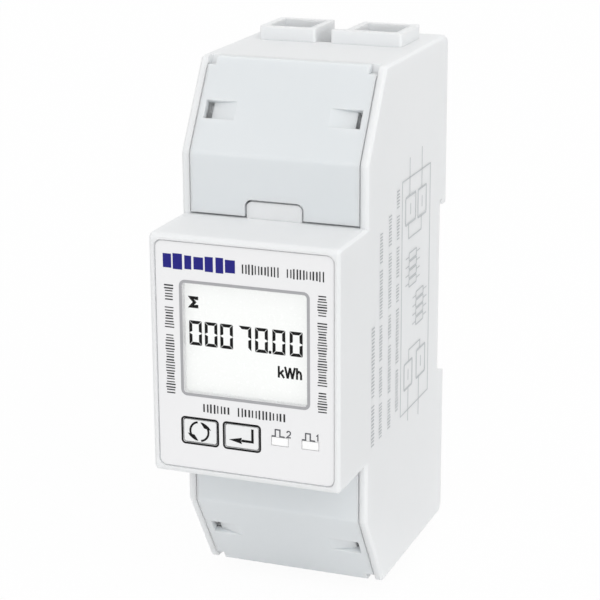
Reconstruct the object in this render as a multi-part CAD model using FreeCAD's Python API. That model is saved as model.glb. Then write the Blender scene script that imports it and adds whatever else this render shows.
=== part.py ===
import FreeCAD, Part
import math
import os

from FreeCAD import Vector

# A two-module energy meter for a 35 mm mounting rail. Millimetres, +Z up, front towards -Y.
# The origin is the middle of the rail seat, so Y = 0 is the face that meets the rail.
# The upper and the lower half mirror each other in Z, apart from the rail hook and its clip.

# Housing
WIDTH = 36.0                # two 18 mm modules
HEIGHT = 100.0
WALL = 1.5
FRONT_WALL = 1.5
NOSE_HEIGHT = 45.0          # passes a distribution board's 45 mm cut-out
NOSE_DEPTH = 59.0           # rail seat to the front face
SHOULDER_DEPTH = 44.0       # rail seat to the terminal covers' upright face
SHOULDER_HEIGHT = 68.0      # where the covers start to slant back
ROOF_DEPTH = 34.0           # rail seat to the roof's front edge
LUG_DEPTH = 4.0             # how far the lugs reach behind the rail seat
SIDE_BEVEL = 0.45           # all round both sides
NOSE_ROUND = 1.0
BEND_ROUND = 1.6
REAR_ROUND = 2.0
FIT = 0.1                   # gap around a part that stays put
PAST = 1.0                  # how far a cutting shape runs past what it cuts
SKIM = 0.01                 # the same, where the shape slopes
ROOT = 0.5                  # how far a rib reaches into the wall it grows from
ROUND_LIMIT = 0.45          # largest corner radius, as a share of a plate's side
SEAM = 0.2                  # visible gap beside a cover

# Rail recess and hook
RAIL_WIDTH = 35.0
RAIL_PLAY = 0.1             # play above and below the rail's flanges
RAIL_SHEET = 1.3            # rail flange and its play, in front of the hook lip
HOOK_REACH = 1.2            # how far the fixed lip reaches over the flange
SEAT_HEIGHT = 31.6
SEAT_INSET = 1.0            # from the side walls' inner faces
SEAT_RISE = 0.3             # the seat stands out from the recess floor
RECESS_SLOPE = 1.4          # the recess opens downwards over the lug's depth

# Cable collars on the roof and the floor
COLLAR_RISE = 2.6
COLLAR_WALL = 1.4
COLLAR_FRONT = 14.5         # in front of the rail seat
COLLAR_REAR = 3.0
COLLAR_GAP = 5.9            # between the two collars
COLLAR_INSET = 2.2          # from the side wall's inner face
COLLAR_ROUND = 0.5
SHIELD_WIDTH = 2.6          # low wall beside the right collar, in front of the wire hole
ROOF_SLOT_WIDTH = 10.0
ROOF_SLOT_FRONT = 0.7       # in front of the rail seat
ROOF_SLOT_RIM = 0.8         # left standing behind the slot

# Terminal chamber
BAY_DEPTH = 7.0             # terminal cover's face to the deck behind it
COVER_CLEARANCE = 0.3       # cover's inner face to the roof's edge
RIB = 1.0
RIB_GAP = 0.2               # between a rib and the cage it guides
BOSS_WIDTH = 4.6
BOSS_LENGTH = 9.0
BOSS_OFFSET = 2.3           # boss centre beyond the nose wall
BOSS_INSET = 4.3            # boss centre to the side wall's inner face
PILOT_RADIUS = 1.1
PILOT_END = 1.0             # pilot hole's end to the boss's end
SCREW_SEAT = 0.8            # base wall left under a housing screw's head
SCREW_SHORT = 2.0           # housing screw's tip to the boss's end
HOUSING_HEAD_RADIUS = 2.2

# Terminals
CAGE_HEIGHT = 12.0
CAGE_LAP = 0.1              # cage's side beyond the collar's hole
CAGE_PLATE = 3.0            # threaded front plate
CAGE_SHEET = 1.2
CAGE_OFFSET = 11.5          # cage centre beyond the nose wall
CAGE_REAR = 3.2             # cage's rear face in front of the rail seat
CABLE_SPACE = 8.0           # clear depth for the conductor with the cage open
BAR_THICKNESS = 2.0
BAR_PLAY = 0.2              # around a bar in its slot
BAR_BACKING = 1.5           # front plate to bar with the cage open
BAR_END = 1.5               # the bar's end beyond the cage
SCREW_RADIUS = 2.5          # M5
THREAD_PLAY = 0.05
SCREW_TIP_GAP = 0.1
SCREW_HEAD_RADIUS = 3.9
SCREW_HEAD_HEIGHT = 3.4
SCREW_ACCESS_RADIUS = 3.3
DRIVE_DEPTH = 2.0
DRIVE_SLOT = 1.2
DRIVE_CROSS = 5.2
SHUNT_LENGTH = 18.0
SHUNT_THICKNESS = 1.2
SHUNT_TRIM = (1.2, 2.0)     # depth and length of its trimming notch
SENSE_PIN = 1.0             # square pin's side
SENSE_PIN_SPACING = 11.0

# Terminal covers
TONGUE_WIDTH = 10.7
TONGUE_HEIGHT = 3.1
TONGUE_SETBACK = 0.15
TONGUE_ROUND = 1.0
TONGUE_GAP = 0.35
COVER_SEAM = 0.35           # between the cover and the nose
CORNER_RELIEF = 1.5         # notch in each top corner of the cover
POCKET_INSET = 1.2          # from the cover's side
POCKET_LENGTH = 6.1
POCKET_SLOT = 1.2           # through slot at the pocket's outer end
POCKET_DEPTH = 1.1
POCKET_LOW = 6.7            # up the slant from the bend
POCKET_HIGH = 10.25
CATCH_DEPTH = 1.0           # blind recess in the deck behind each pocket's slot
LEG_THICKNESS = 1.4
LEG_LOW = 2.5               # above the nose
LEG_HEIGHT = 8.0
TAB_HEIGHT = 2.0
TAB_REACH = 1.0             # through the deck

# Front: label, display, keys and pulse lamps
LABEL_MARGIN = 1.15         # from the housing's side
LABEL_MARGIN_TOP = 1.3
LABEL_RECESS = 0.6
LABEL_THICKNESS = 0.3
LABEL_ROUND = 1.3
LABEL_GAP = 0.2
WINDOW_WIDTH = 23.5
WINDOW_HEIGHT = 20.4
WINDOW_CENTRE = 3.5
WINDOW_ROUND = 0.6
WINDOW_FLANGE = 1.2
FLANGE_THICKNESS = 0.8
KEY_WIDTH = 6.3
KEY_HEIGHT = 4.2
KEY_ROUND = 0.4
KEY_GAP = 0.2
KEY_CENTRE = -14.0
KEY_POSITIONS = {"scroll": -8.85, "enter": -0.7}
KEY_TRAVEL = 0.4
KEY_RIM = 0.6
KEY_RIM_THICKNESS = 1.0
KEY_STEM_RADIUS = 1.2
LAMP_WIDTH = 3.1
LAMP_HEIGHT = 1.5
LAMP_CENTRE = -13.95
LAMP_POSITIONS = {"active": 6.6, "reactive": 12.4}
LAMP_RIM = 0.5
LED_HEIGHT = 2.0
LED_WIDTH = 2.4
LED_GAP = 0.2

# Display stack and boards
GLASS_THICKNESS = 2.8
GLASS_MARGIN = 1.2          # glass beyond the window's opening
STACK_GAP = 0.2
BACKLIGHT_THICKNESS = 2.5
HOLDER_WALL = 1.1
HOLDER_SHELF = 1.0
HOLDER_DEPTH = 8.2
STRIP_THICKNESS = 2.0
BOARD = 1.6
BOARD_PLAY = 0.3            # board's edge to the side wall
BOARD_MARGIN = 0.5          # board's edge to the nose wall
BOARD_RIB = 1.3
BOARD_RIB_REACH = 1.2
BOARD_RIB_SHORT = 4.0       # rib's end to the board's end
SWITCH_SIZE = 6.0
SWITCH_HEIGHT = 3.5
PLUNGER_RADIUS = 1.7
PLUNGER_RISE = 1.5
PLUNGER_SEAT = 1.1
SIGNAL_HEIGHT = 11.3        # signal terminal block, on the main board
SIGNAL_POLES = 3
SIGNAL_PITCH = 3.5
SIGNAL_TALL = 7.0
SIGNAL_ENTRY_HIGH = 2.0     # wire entry above the block's lower edge
SIGNAL_SCREW_HIGH = 5.0     # screw above the block's lower edge
SIGNAL_BACK = 2.0           # block behind its wire entries
SIGNAL_SETBACK = 0.2        # block's face behind the deck's face
SIGNAL_SCREW_RADIUS = 1.2
SIGNAL_SCREW_SINK = 1.0     # head behind the block's face
SIGNAL_SCREW_LENGTH = 5.0
SIGNAL_SCREW_SLOT = (0.4, 0.6)
SIGNAL_ENTRY = 2.2
CLAMP_LENGTH = 4.0
CLAMP_WALL = 0.4
WIRE_SLOT_WIDTH = 5.2
WIRE_SLOT_HEIGHT = 12.0
WIRE_SLOT_LOW = 6.0         # above the nose, inside the signal block's opening

# Rail clip
CLIP_WIDTH = 11.0
CLIP_WING = 1.5
CLIP_WING_THICKNESS = 1.0
CLIP_THICKNESS = 2.3
CLIP_FRONT = 1.5            # behind the rail seat
CLIP_PLAY = 0.12
CLIP_OVERLAP = 1.3          # over the rail's lower flange
CLIP_RAMP = 1.9
CLIP_WINGS_TOP = 20.0
CLIP_ARM_LENGTH = 12.0
CLIP_ARM_SLOT = 0.8
CLIP_ARM_INSET = 0.3        # arm's slot inside the body's edge
CLIP_SLOT_WIDTH = 5.2
CLIP_SLOT_HEIGHT = 1.8
CLIP_SLOT_LOW = 2.4
CLIP_SLOT_ROUND = 0.6
TUNNEL_WALL = 1.4
BASE_WALL = 2.0

# Parts on the boards: place is X and Z, size is X, Z and rise off the board
CHIP_LIFT = 0.1
CHIP_LEG = 0.9              # leg beyond the package
CHIP_LEG_RISE = 0.5
CHIP_LEG_INSET = 0.6
MICROCONTROLLER_PLACE = (-4.0, 6.0)
MICROCONTROLLER_SIZE = (9.0, 9.0, 1.4)
CRYSTAL_PLACE = (-4.0, -6.0)
CRYSTAL_SIZE = (10.2, 3.8, 3.4)
METERING_CHIP_PLACE = (0.0, -2.0)
METERING_CHIP_SIZE = (7.5, 9.5, 1.8)
OPTOCOUPLER_Z = 15.0
OPTOCOUPLER_SIZE = (6.4, 4.6, 3.5)
CAN_EDGE = 0.4
BULK_CAPACITOR_PLACE = (-9.5, -14.0)
BULK_CAPACITOR_RADIUS = 4.0
BULK_CAPACITOR_RISE = 12.0
OUTPUT_CAPACITOR_PLACE = (0.5, -15.5)
OUTPUT_CAPACITOR_RADIUS = 3.1
OUTPUT_CAPACITOR_RISE = 9.0
FILM_CAPACITOR_PLACE = (9.0, 12.0)
FILM_CAPACITOR_SIZE = (12.0, 6.0, 11.0)
LEAD = 0.8                  # square lead's side
VARISTOR_PLACE = (9.0, 3.6)
VARISTOR_RADIUS = 4.6
VARISTOR_THICKNESS = 3.4
VARISTOR_LIFT = 1.2
VARISTOR_PITCH = 5.0
FUSE_PLACE = (-9.0, -2.8)
FUSE_RADIUS = 1.8
FUSE_LENGTH = 8.0
FUSE_LIFT = 0.8
FUSE_PITCH = 10.8
CORE_PLACE = (-8.5, 10.0)
CORE_SIZE = (13.0, 5.2, 10.5)
CORE_LIFT = 1.5
CORE_YOKE = 2.1
CORE_LIMB = 4.0
CORE_WINDOW = 2.9           # between the middle limb and an outer one
BOBBIN_DEPTH = 11.2
BOBBIN_WALL = 0.6
BOBBIN_FLANGE = 0.7
BOBBIN_FOOT = 1.2
WINDING_SIZE = (9.0, 10.0)
WINDING_ROUND = 1.8
CONNECTOR_X = (8.4, 13.4)
CONNECTOR_Z = (-9.5, 3.2)
CONNECTOR_NOTCH = 1.2
CONNECTOR_END = 6.0         # full width at each board

# Values worked out from the sizes above
HALF_WIDTH = WIDTH / 2
INNER_HALF = HALF_WIDTH - WALL
HALF_HEIGHT = HEIGHT / 2
NOSE_HALF = NOSE_HEIGHT / 2
SHOULDER_HALF = SHOULDER_HEIGHT / 2
FRONT = -NOSE_DEPTH
SLANT_RUN = SHOULDER_DEPTH - ROOF_DEPTH
SLANT_RISE = HALF_HEIGHT - SHOULDER_HALF
SLANT_LENGTH = math.hypot(SLANT_RUN, SLANT_RISE)
DECK_FRONT = -SHOULDER_DEPTH + BAY_DEPTH
DECK_REAR = DECK_FRONT + WALL
CHAMBER_ROOF = HALF_HEIGHT - WALL
BASE_FRONT = -SEAT_RISE - BASE_WALL
LUG_FRONT = LUG_DEPTH - BASE_WALL
RECESS_HALF = RAIL_WIDTH / 2 + RAIL_PLAY
COLLAR_IN = COLLAR_GAP / 2
COLLAR_OUT = INNER_HALF - COLLAR_INSET
POLE_X = (COLLAR_IN + COLLAR_OUT) / 2
CAGE_HALF = (COLLAR_OUT - COLLAR_IN) / 2 - COLLAR_WALL + CAGE_LAP
CAGE_Z = NOSE_HALF + CAGE_OFFSET
BAR_REAR = -CAGE_REAR - CAGE_SHEET - CABLE_SPACE
BAR_FRONT = BAR_REAR - BAR_THICKNESS
CAGE_FRONT = BAR_FRONT - BAR_BACKING - CAGE_PLATE
BAR_HALF = CAGE_HALF - CAGE_SHEET - BAR_PLAY
BAR_TOP = CAGE_Z + CAGE_HEIGHT / 2 + BAR_END
BOSS_X = INNER_HALF - BOSS_INSET
BOSS_Z = NOSE_HALF + BOSS_OFFSET
FACE_INNER = FRONT + FRONT_WALL
LABEL_BACK = FRONT + LABEL_RECESS
LABEL_FRONT = LABEL_BACK - LABEL_THICKNESS
LABEL_HALF_WIDTH = HALF_WIDTH - LABEL_MARGIN
LABEL_HALF_HEIGHT = NOSE_HALF - LABEL_MARGIN_TOP
WINDOW_BACK = FACE_INNER + FLANGE_THICKNESS
GLASS_FRONT = WINDOW_BACK + STACK_GAP
GLASS_BACK = GLASS_FRONT + GLASS_THICKNESS
BACKLIGHT_BACK = GLASS_BACK + BACKLIGHT_THICKNESS
DISPLAY_BOARD_FRONT = WINDOW_BACK + HOLDER_DEPTH
DISPLAY_BOARD_BACK = DISPLAY_BOARD_FRONT + BOARD
MAIN_BOARD_FRONT = DECK_FRONT + SIGNAL_SETBACK + SIGNAL_HEIGHT
MAIN_BOARD_BACK = MAIN_BOARD_FRONT + BOARD
BOARD_HALF_WIDTH = INNER_HALF - BOARD_PLAY
BOARD_HALF_HEIGHT = NOSE_HALF - WALL - BOARD_MARGIN
SIGNAL_HALF = SIGNAL_POLES * SIGNAL_PITCH / 2
COVER_HALF = INNER_HALF - SEAM
POCKET_END = COVER_HALF - POCKET_INSET
POCKET_START = POCKET_END - POCKET_LENGTH
CLIP_REAR = CLIP_FRONT + CLIP_THICKNESS
CLIP_TOP = RAIL_WIDTH / 2 - CLIP_OVERLAP


def box(x, y, z):
    """A block between the two values given for each direction."""
    corner = Vector(min(x), min(y), min(z))
    return Part.makeBox(abs(x[1] - x[0]), abs(y[1] - y[0]), abs(z[1] - z[0]), corner)


def post(radius, x, y, z):
    """A round post along Y between the two values of y, centred at x and z."""
    return Part.makeCylinder(radius, abs(y[1] - y[0]), Vector(x, min(y), z), Vector(0, 1, 0))


def side_prism(outline, x):
    """An outline of (Y, Z) points, extruded between the two values of x."""
    points = [Vector(min(x), y, z) for y, z in outline]
    face = Part.Face(Part.makePolygon(points + points[:1]))
    return face.extrude(Vector(abs(x[1] - x[0]), 0, 0))


def slab(centre, size, radius, y):
    """A plate parallel to the front with rounded corners, between the two values of y."""
    half_width, half_height = size[0] / 2, size[1] / 2
    plate = box((centre[0] - half_width, centre[0] + half_width), y,
                (centre[1] - half_height, centre[1] + half_height))
    upright = [edge for edge in plate.Edges if runs_along(edge, Vector(0, 1, 0))]
    return plate.makeFillet(min(radius, ROUND_LIMIT * min(size)), upright)


def runs_along(edge, direction):
    """Whether a straight edge is parallel to a direction."""
    if edge.Curve.TypeId != "Part::GeomLine":
        return False
    return abs(edge.Curve.Direction.dot(direction)) > 0.999


def edges_along_x_at(shape, places, tolerance=0.01):
    """The edges parallel to X that pass through one of the given (Y, Z) places."""
    found = []
    for edge in shape.Edges:
        if runs_along(edge, Vector(1, 0, 0)):
            point = edge.Vertexes[0].Point
            if any(math.hypot(point.y - y, point.z - z) < tolerance for y, z in places):
                found.append(edge)
    return found


def both_ways(places):
    """The given (Y, Z) places and their mirror images in Z."""
    return places + [(y, -z) for y, z in places]


def mirrored(shape):
    """The same shape on the other side of Z = 0."""
    return shape.mirror(Vector(0, 0, 0), Vector(0, 0, 1))


def join(shapes):
    """One shape of all the given ones, with coplanar faces merged."""
    return shapes[0].multiFuse(shapes[1:]).removeSplitter()


def on_half(shape, upper):
    """A shape made for the upper half, put in the half that is asked for."""
    return shape if upper else mirrored(shape)


def slant_depth(height, inset):
    """Y at a height on the line that lies the inset behind the cover's slanted face."""
    start = (height - SHOULDER_HALF) * SLANT_RUN / SLANT_RISE
    return -SHOULDER_DEPTH + start + inset * SLANT_LENGTH / SLANT_RISE


def slant_height(depth, inset):
    """Z at a depth on the line that lies the inset behind the cover's slanted face."""
    along = depth + SHOULDER_DEPTH - inset * SLANT_LENGTH / SLANT_RISE
    return SHOULDER_HALF + along * SLANT_RISE / SLANT_RUN


def on_slant(x, up, inward):
    """The point at x, so far up the slanted face from its bend and so far behind it."""
    along = Vector(0, SLANT_RUN / SLANT_LENGTH, SLANT_RISE / SLANT_LENGTH)
    normal = Vector(0, SLANT_RISE / SLANT_LENGTH, -SLANT_RUN / SLANT_LENGTH)
    return Vector(x, -SHOULDER_DEPTH, SHOULDER_HALF) + along * up + normal * inward


def slant_prism(outline, up):
    """An outline of (x, inward) points on the slanted face, extruded up the slant."""
    points = [on_slant(x, up[0], inward) for x, inward in outline]
    face = Part.Face(Part.makePolygon(points + points[:1]))
    return face.extrude(on_slant(0, up[1], 0) - on_slant(0, up[0], 0))


def housing_block():
    """The housing's full outside, before anything is hollowed out of it."""
    upper = [(FRONT, NOSE_HALF), (-SHOULDER_DEPTH, NOSE_HALF), (-SHOULDER_DEPTH, SHOULDER_HALF),
             (-ROOF_DEPTH, HALF_HEIGHT), (LUG_DEPTH, HALF_HEIGHT)]
    outline = upper + [(y, -z) for y, z in reversed(upper)]
    block = side_prism(outline, (-HALF_WIDTH, HALF_WIDTH))
    rounds = [(NOSE_ROUND, (FRONT, NOSE_HALF)), (REAR_ROUND, (LUG_DEPTH, HALF_HEIGHT)),
              (BEND_ROUND, (-SHOULDER_DEPTH, SHOULDER_HALF)),
              (NOSE_ROUND, (-ROOF_DEPTH, HALF_HEIGHT))]
    for radius, place in rounds:
        block = block.makeFillet(radius, edges_along_x_at(block, both_ways([place])))
    rim = [edge for edge in block.Edges
           if all(abs(abs(vertex.X) - HALF_WIDTH) < 0.001 for vertex in edge.Vertexes)
           and edge.BoundBox.XLength < 0.001]
    return block.makeChamfer(SIDE_BEVEL, rim)


def rail_recess():
    """The space for the rail, as wide as the housing and more, with the hook's groove."""
    past = LUG_DEPTH + PAST
    slope = RECESS_SLOPE / (LUG_DEPTH + SEAT_RISE)
    outline = [(-SEAT_RISE, RECESS_HALF), (RAIL_SHEET, RECESS_HALF),
               (RAIL_SHEET, RECESS_HALF - HOOK_REACH), (past, RECESS_HALF - HOOK_REACH),
               (past, -RECESS_HALF - slope * (past + SEAT_RISE)), (-SEAT_RISE, -RECESS_HALF)]
    return side_prism(outline, (-HALF_WIDTH - PAST, HALF_WIDTH + PAST))


def chamber_cavity():
    """The upper terminal chamber behind its deck, open to the rear."""
    inset = WALL + COVER_CLEARANCE + WALL
    outline = [(DECK_REAR, NOSE_HALF), (DECK_REAR, slant_height(DECK_REAR, inset)),
               (slant_depth(CHAMBER_ROOF, inset), CHAMBER_ROOF),
               (LUG_DEPTH + PAST, CHAMBER_ROOF), (LUG_DEPTH + PAST, NOSE_HALF)]
    return side_prism(outline, (-INNER_HALF, INNER_HALF))


def cover_bay():
    """The upper space in front of the deck, which the terminal cover closes."""
    inset = WALL + COVER_CLEARANCE
    ahead = -SHOULDER_DEPTH - PAST
    over = HALF_HEIGHT + PAST
    outline = [(ahead, NOSE_HALF), (DECK_FRONT, NOSE_HALF),
               (DECK_FRONT, slant_height(DECK_FRONT, inset)),
               (slant_depth(over, inset), over), (ahead, over)]
    return side_prism(outline, (-INNER_HALF, INNER_HALF))


def base_space():
    """What the rear base and a little play take out of the partitions and ribs."""
    plate = box((-INNER_HALF, INNER_HALF), (BASE_FRONT - FIT, LUG_DEPTH + PAST),
                (-RECESS_HALF - BASE_WALL - FIT, RECESS_HALF + BASE_WALL + FIT))
    lugs = box((-INNER_HALF, INNER_HALF), (LUG_FRONT - FIT, LUG_DEPTH + PAST),
               (-CHAMBER_ROOF, CHAMBER_ROOF))
    half, front = tunnel_size()
    tunnel = box((-half - FIT, half + FIT), (front - FIT, LUG_DEPTH + PAST), (-CHAMBER_ROOF, -RECESS_HALF))
    return plate.multiFuse([lugs, tunnel])


def collars():
    """The upper pair of cable collars and the small shield wall beside the right one."""
    front, rear = -COLLAR_FRONT, -COLLAR_REAR
    top = HALF_HEIGHT + COLLAR_RISE
    foot = HALF_HEIGHT - WALL
    parts = []
    for side in (-1, 1):
        ring = box((side * COLLAR_IN, side * COLLAR_OUT), (front, rear), (foot, top))
        upright = [edge for edge in ring.Edges if runs_along(edge, Vector(0, 0, 1))]
        parts.append(ring.makeFillet(COLLAR_ROUND, upright))
    parts.append(box((COLLAR_IN - SHIELD_WIDTH, COLLAR_IN + COLLAR_ROUND),
                     (front, front + COLLAR_WALL), (foot, top)))
    return join(parts)


def collar_holes():
    """The three ways through the upper collars: two for power cables, one for signal wires."""
    y = (-COLLAR_FRONT + COLLAR_WALL, -COLLAR_REAR - COLLAR_WALL)
    z = (CHAMBER_ROOF - PAST, HALF_HEIGHT + COLLAR_RISE + PAST)
    holes = [box((-COLLAR_IN, COLLAR_IN), y, z)]
    for side in (-1, 1):
        holes.append(box((side * (COLLAR_IN + COLLAR_WALL), side * (COLLAR_OUT - COLLAR_WALL)), y, z))
    return holes


def roof_slot():
    """The slot through the roof behind the collars."""
    return box((-ROOF_SLOT_WIDTH / 2, ROOF_SLOT_WIDTH / 2), (-ROOF_SLOT_FRONT, LUG_DEPTH - ROOF_SLOT_RIM),
               (CHAMBER_ROOF - PAST, HALF_HEIGHT + PAST))


def chamber_ribs():
    """The ribs that guide the two upper cages and part the poles, and the screw bosses."""
    parts = []
    y = (MAIN_BOARD_BACK + BAR_PLAY, LUG_FRONT - FIT)
    z = (NOSE_HALF - ROOT, CHAMBER_ROOF + ROOT)
    boss = BOSS_WIDTH / 2
    for side in (-1, 1):
        for face, away in ((POLE_X - CAGE_HALF - RIB_GAP, -1), (POLE_X + CAGE_HALF + RIB_GAP, 1)):
            parts.append(box((side * face, side * (face + away * RIB)), y, z))
        x = side * BOSS_X
        parts.append(box((x - boss, x + boss), (LUG_FRONT - FIT, LUG_FRONT - BOSS_LENGTH),
                         (BOSS_Z - boss, BOSS_Z + boss)))
    return parts


def tongue():
    """The upright tongue on the nose that fills the notch of the upper cover."""
    y = (-SHOULDER_DEPTH + TONGUE_SETBACK, -SHOULDER_DEPTH + WALL)
    whole = slab((0, NOSE_HALF), (TONGUE_WIDTH, 2 * TONGUE_HEIGHT), TONGUE_ROUND, y)
    return whole.cut(box((-WIDTH, WIDTH), y, (0, NOSE_HALF - ROOT)))


def deck_openings():
    """The holes in the upper deck: two for a driver, signal block, wires and cover tabs."""
    y = (DECK_FRONT - PAST, DECK_REAR + PAST)
    cuts = [post(SCREW_ACCESS_RADIUS, side * POLE_X, y, CAGE_Z) for side in (-1, 1)]
    block_top = NOSE_HALF + FIT + SIGNAL_TALL + FIT
    cuts.append(box((-SIGNAL_HALF - FIT, SIGNAL_HALF + FIT), y, (NOSE_HALF, block_top)))
    low = NOSE_HALF + WIRE_SLOT_LOW
    cuts.append(slab((0, low + WIRE_SLOT_HEIGHT / 2), (WIRE_SLOT_WIDTH, WIRE_SLOT_HEIGHT), RIB, y))
    tab = NOSE_HALF + LEG_LOW + LEG_HEIGHT / 2
    for side in (-1, 1):
        cuts.append(box((side * (INNER_HALF - LEG_THICKNESS - 2 * SEAM), side * INNER_HALF), y,
                        (tab - TAB_HEIGHT / 2 - SEAM, tab + TAB_HEIGHT / 2 + SEAM)))
        cuts.append(pocket_slot(side, WALL + COVER_CLEARANCE + CATCH_DEPTH))
    return cuts


def partition_slots():
    """The ways through the upper partition for the two bars and the main board's tongue."""
    z = (NOSE_HALF - WALL - PAST, NOSE_HALF + PAST)
    bars = (BAR_FRONT - BAR_PLAY, BAR_REAR + BAR_PLAY)
    half = BAR_HALF + BAR_PLAY
    slots = [box((side * POLE_X - half, side * POLE_X + half), bars, z) for side in (-1, 1)]
    board = (MAIN_BOARD_FRONT - BAR_PLAY, MAIN_BOARD_BACK + BAR_PLAY)
    slots.append(box((-SIGNAL_HALF - BAR_PLAY, SIGNAL_HALF + BAR_PLAY), board, z))
    return slots


def board_ribs():
    """The ribs on both side walls that hold the display board and the main board."""
    ribs = []
    end = BOARD_HALF_HEIGHT - BOARD_RIB_SHORT
    for front, back in ((DISPLAY_BOARD_FRONT, DISPLAY_BOARD_BACK), (MAIN_BOARD_FRONT, MAIN_BOARD_BACK)):
        for y in ((front - FIT, front - FIT - BOARD_RIB), (back + FIT, back + FIT + BOARD_RIB)):
            for side in (-1, 1):
                ribs.append(box((side * (INNER_HALF - BOARD_RIB_REACH), side * (INNER_HALF + ROOT)), y,
                                (-end, end)))
    return ribs


def face_openings():
    """The label's recess and the openings for the window, the keys and the pulse lamps."""
    recess = slab((0, 0), (2 * (LABEL_HALF_WIDTH + LABEL_GAP), 2 * (LABEL_HALF_HEIGHT + LABEL_GAP)),
                  LABEL_ROUND + LABEL_GAP, (FRONT - PAST, LABEL_BACK))
    return [recess] + through_face(FIT, (FRONT, FACE_INNER + PAST))


def through_face(play, y):
    """The window, key and lamp outlines with the given play, as tools between two depths."""
    tools = [slab((0, WINDOW_CENTRE), (WINDOW_WIDTH + 2 * play, WINDOW_HEIGHT + 2 * play),
                  WINDOW_ROUND, y)]
    for x in KEY_POSITIONS.values():
        tools.append(slab((x, KEY_CENTRE), (KEY_WIDTH + 2 * KEY_GAP, KEY_HEIGHT + 2 * KEY_GAP),
                          KEY_ROUND + KEY_GAP, y))
    for x in LAMP_POSITIONS.values():
        tools.append(box((x - LAMP_WIDTH / 2 - play, x + LAMP_WIDTH / 2 + play), y,
                         (LAMP_CENTRE - LAMP_HEIGHT / 2 - play, LAMP_CENTRE + LAMP_HEIGHT / 2 + play)))
    return tools


def housing_shell():
    """The moulded housing: nose, side walls, terminal decks, partitions, roof, floor, collars."""
    cavity = box((-INNER_HALF, INNER_HALF), (FACE_INNER, LUG_DEPTH + PAST),
                 (-NOSE_HALF + WALL, NOSE_HALF - WALL))
    hollow = [cavity]
    added = board_ribs()
    removed = []
    for upper in (True, False):
        hollow += [on_half(shape, upper) for shape in (chamber_cavity(), cover_bay())]
        added += [on_half(shape, upper) for shape in [collars(), tongue()] + chamber_ribs()]
        removed += [on_half(shape, upper)
                    for shape in collar_holes() + deck_openings() + partition_slots()]
        for side in (-1, 1):
            removed.append(on_half(post(PILOT_RADIUS, side * BOSS_X,
                                        (LUG_FRONT, LUG_FRONT - BOSS_LENGTH + PILOT_END), BOSS_Z), upper))
    shell = housing_block().cut(hollow)
    shell = join([shell] + added)
    way_half = CLIP_WIDTH / 2 + CLIP_WING + 2 * CLIP_PLAY
    clip_way = box((-way_half, way_half), (CLIP_FRONT - CLIP_PLAY, LUG_DEPTH + PAST),
                   (-HALF_HEIGHT - PAST, -CHAMBER_ROOF + ROOT))
    removed += face_openings() + [rail_recess(), base_space(), clip_way, roof_slot()]
    return shell.cut(removed).removeSplitter()


def tunnel_size():
    """Half the width and the front of the clip's tunnel in the rear base."""
    return CLIP_WIDTH / 2 + CLIP_WING + CLIP_PLAY + TUNNEL_WALL, CLIP_FRONT - CLIP_PLAY - TUNNEL_WALL


def clip_track():
    """The T-shaped track that the rail clip slides in, and its relief for the two arms."""
    z = (-HALF_HEIGHT - PAST, -RECESS_HALF + PAST)
    half = CLIP_WIDTH / 2 + CLIP_WING + CLIP_PLAY
    wide = box((-half, half), (CLIP_FRONT - CLIP_PLAY, CLIP_FRONT + CLIP_WING_THICKNESS + CLIP_PLAY), z)
    narrow = box((-CLIP_WIDTH / 2 - CLIP_PLAY, CLIP_WIDTH / 2 + CLIP_PLAY),
                 (CLIP_FRONT, LUG_DEPTH + PAST), z)
    return wide.fuse(narrow)


def rear_base():
    """The rear base: a plate bent round the rail recess, its seat, and the clip's tunnel."""
    half = INNER_HALF - FIT
    top = CHAMBER_ROOF - FIT
    plate = box((-half, half), (BASE_FRONT, LUG_DEPTH), (-RECESS_HALF - BASE_WALL, RECESS_HALF + BASE_WALL))
    parts = [plate]
    for upper in (True, False):
        parts.append(on_half(box((-half, half), (LUG_FRONT, LUG_DEPTH), (RECESS_HALF, top)), upper))
    tunnel_half, tunnel_front = tunnel_size()
    parts.append(box((-tunnel_half, tunnel_half), (tunnel_front, LUG_DEPTH), (-top, -RECESS_HALF)))
    base = join(parts).cut([rail_recess(), clip_track()])
    seat = slab((0, 0), (2 * (INNER_HALF - SEAT_INSET), SEAT_HEIGHT), NOSE_ROUND, (BASE_FRONT, 0))
    base = join([base, seat])
    holes = []
    for x in (-BOSS_X, BOSS_X):
        for z in (-BOSS_Z, BOSS_Z):
            holes.append(post(PILOT_RADIUS + FIT, x, (LUG_FRONT - PAST, LUG_DEPTH + PAST), z))
            well = (LUG_FRONT + SCREW_SEAT, LUG_DEPTH + PAST)
            holes.append(post(HOUSING_HEAD_RADIUS + 2 * FIT, x, well, z))
    return base.cut(holes)


def housing_screws():
    """The four thread-forming screws that hold the base to the shell's bosses."""
    screws = []
    seat = LUG_FRONT + SCREW_SEAT
    for x in (-BOSS_X, BOSS_X):
        for z in (-BOSS_Z, BOSS_Z):
            shank = post(PILOT_RADIUS - THREAD_PLAY, x, (seat, LUG_FRONT - BOSS_LENGTH + SCREW_SHORT), z)
            head = post(HOUSING_HEAD_RADIUS, x, (seat, LUG_DEPTH - FIT), z)
            screws.append(join([shank, head]))
    return screws


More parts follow.
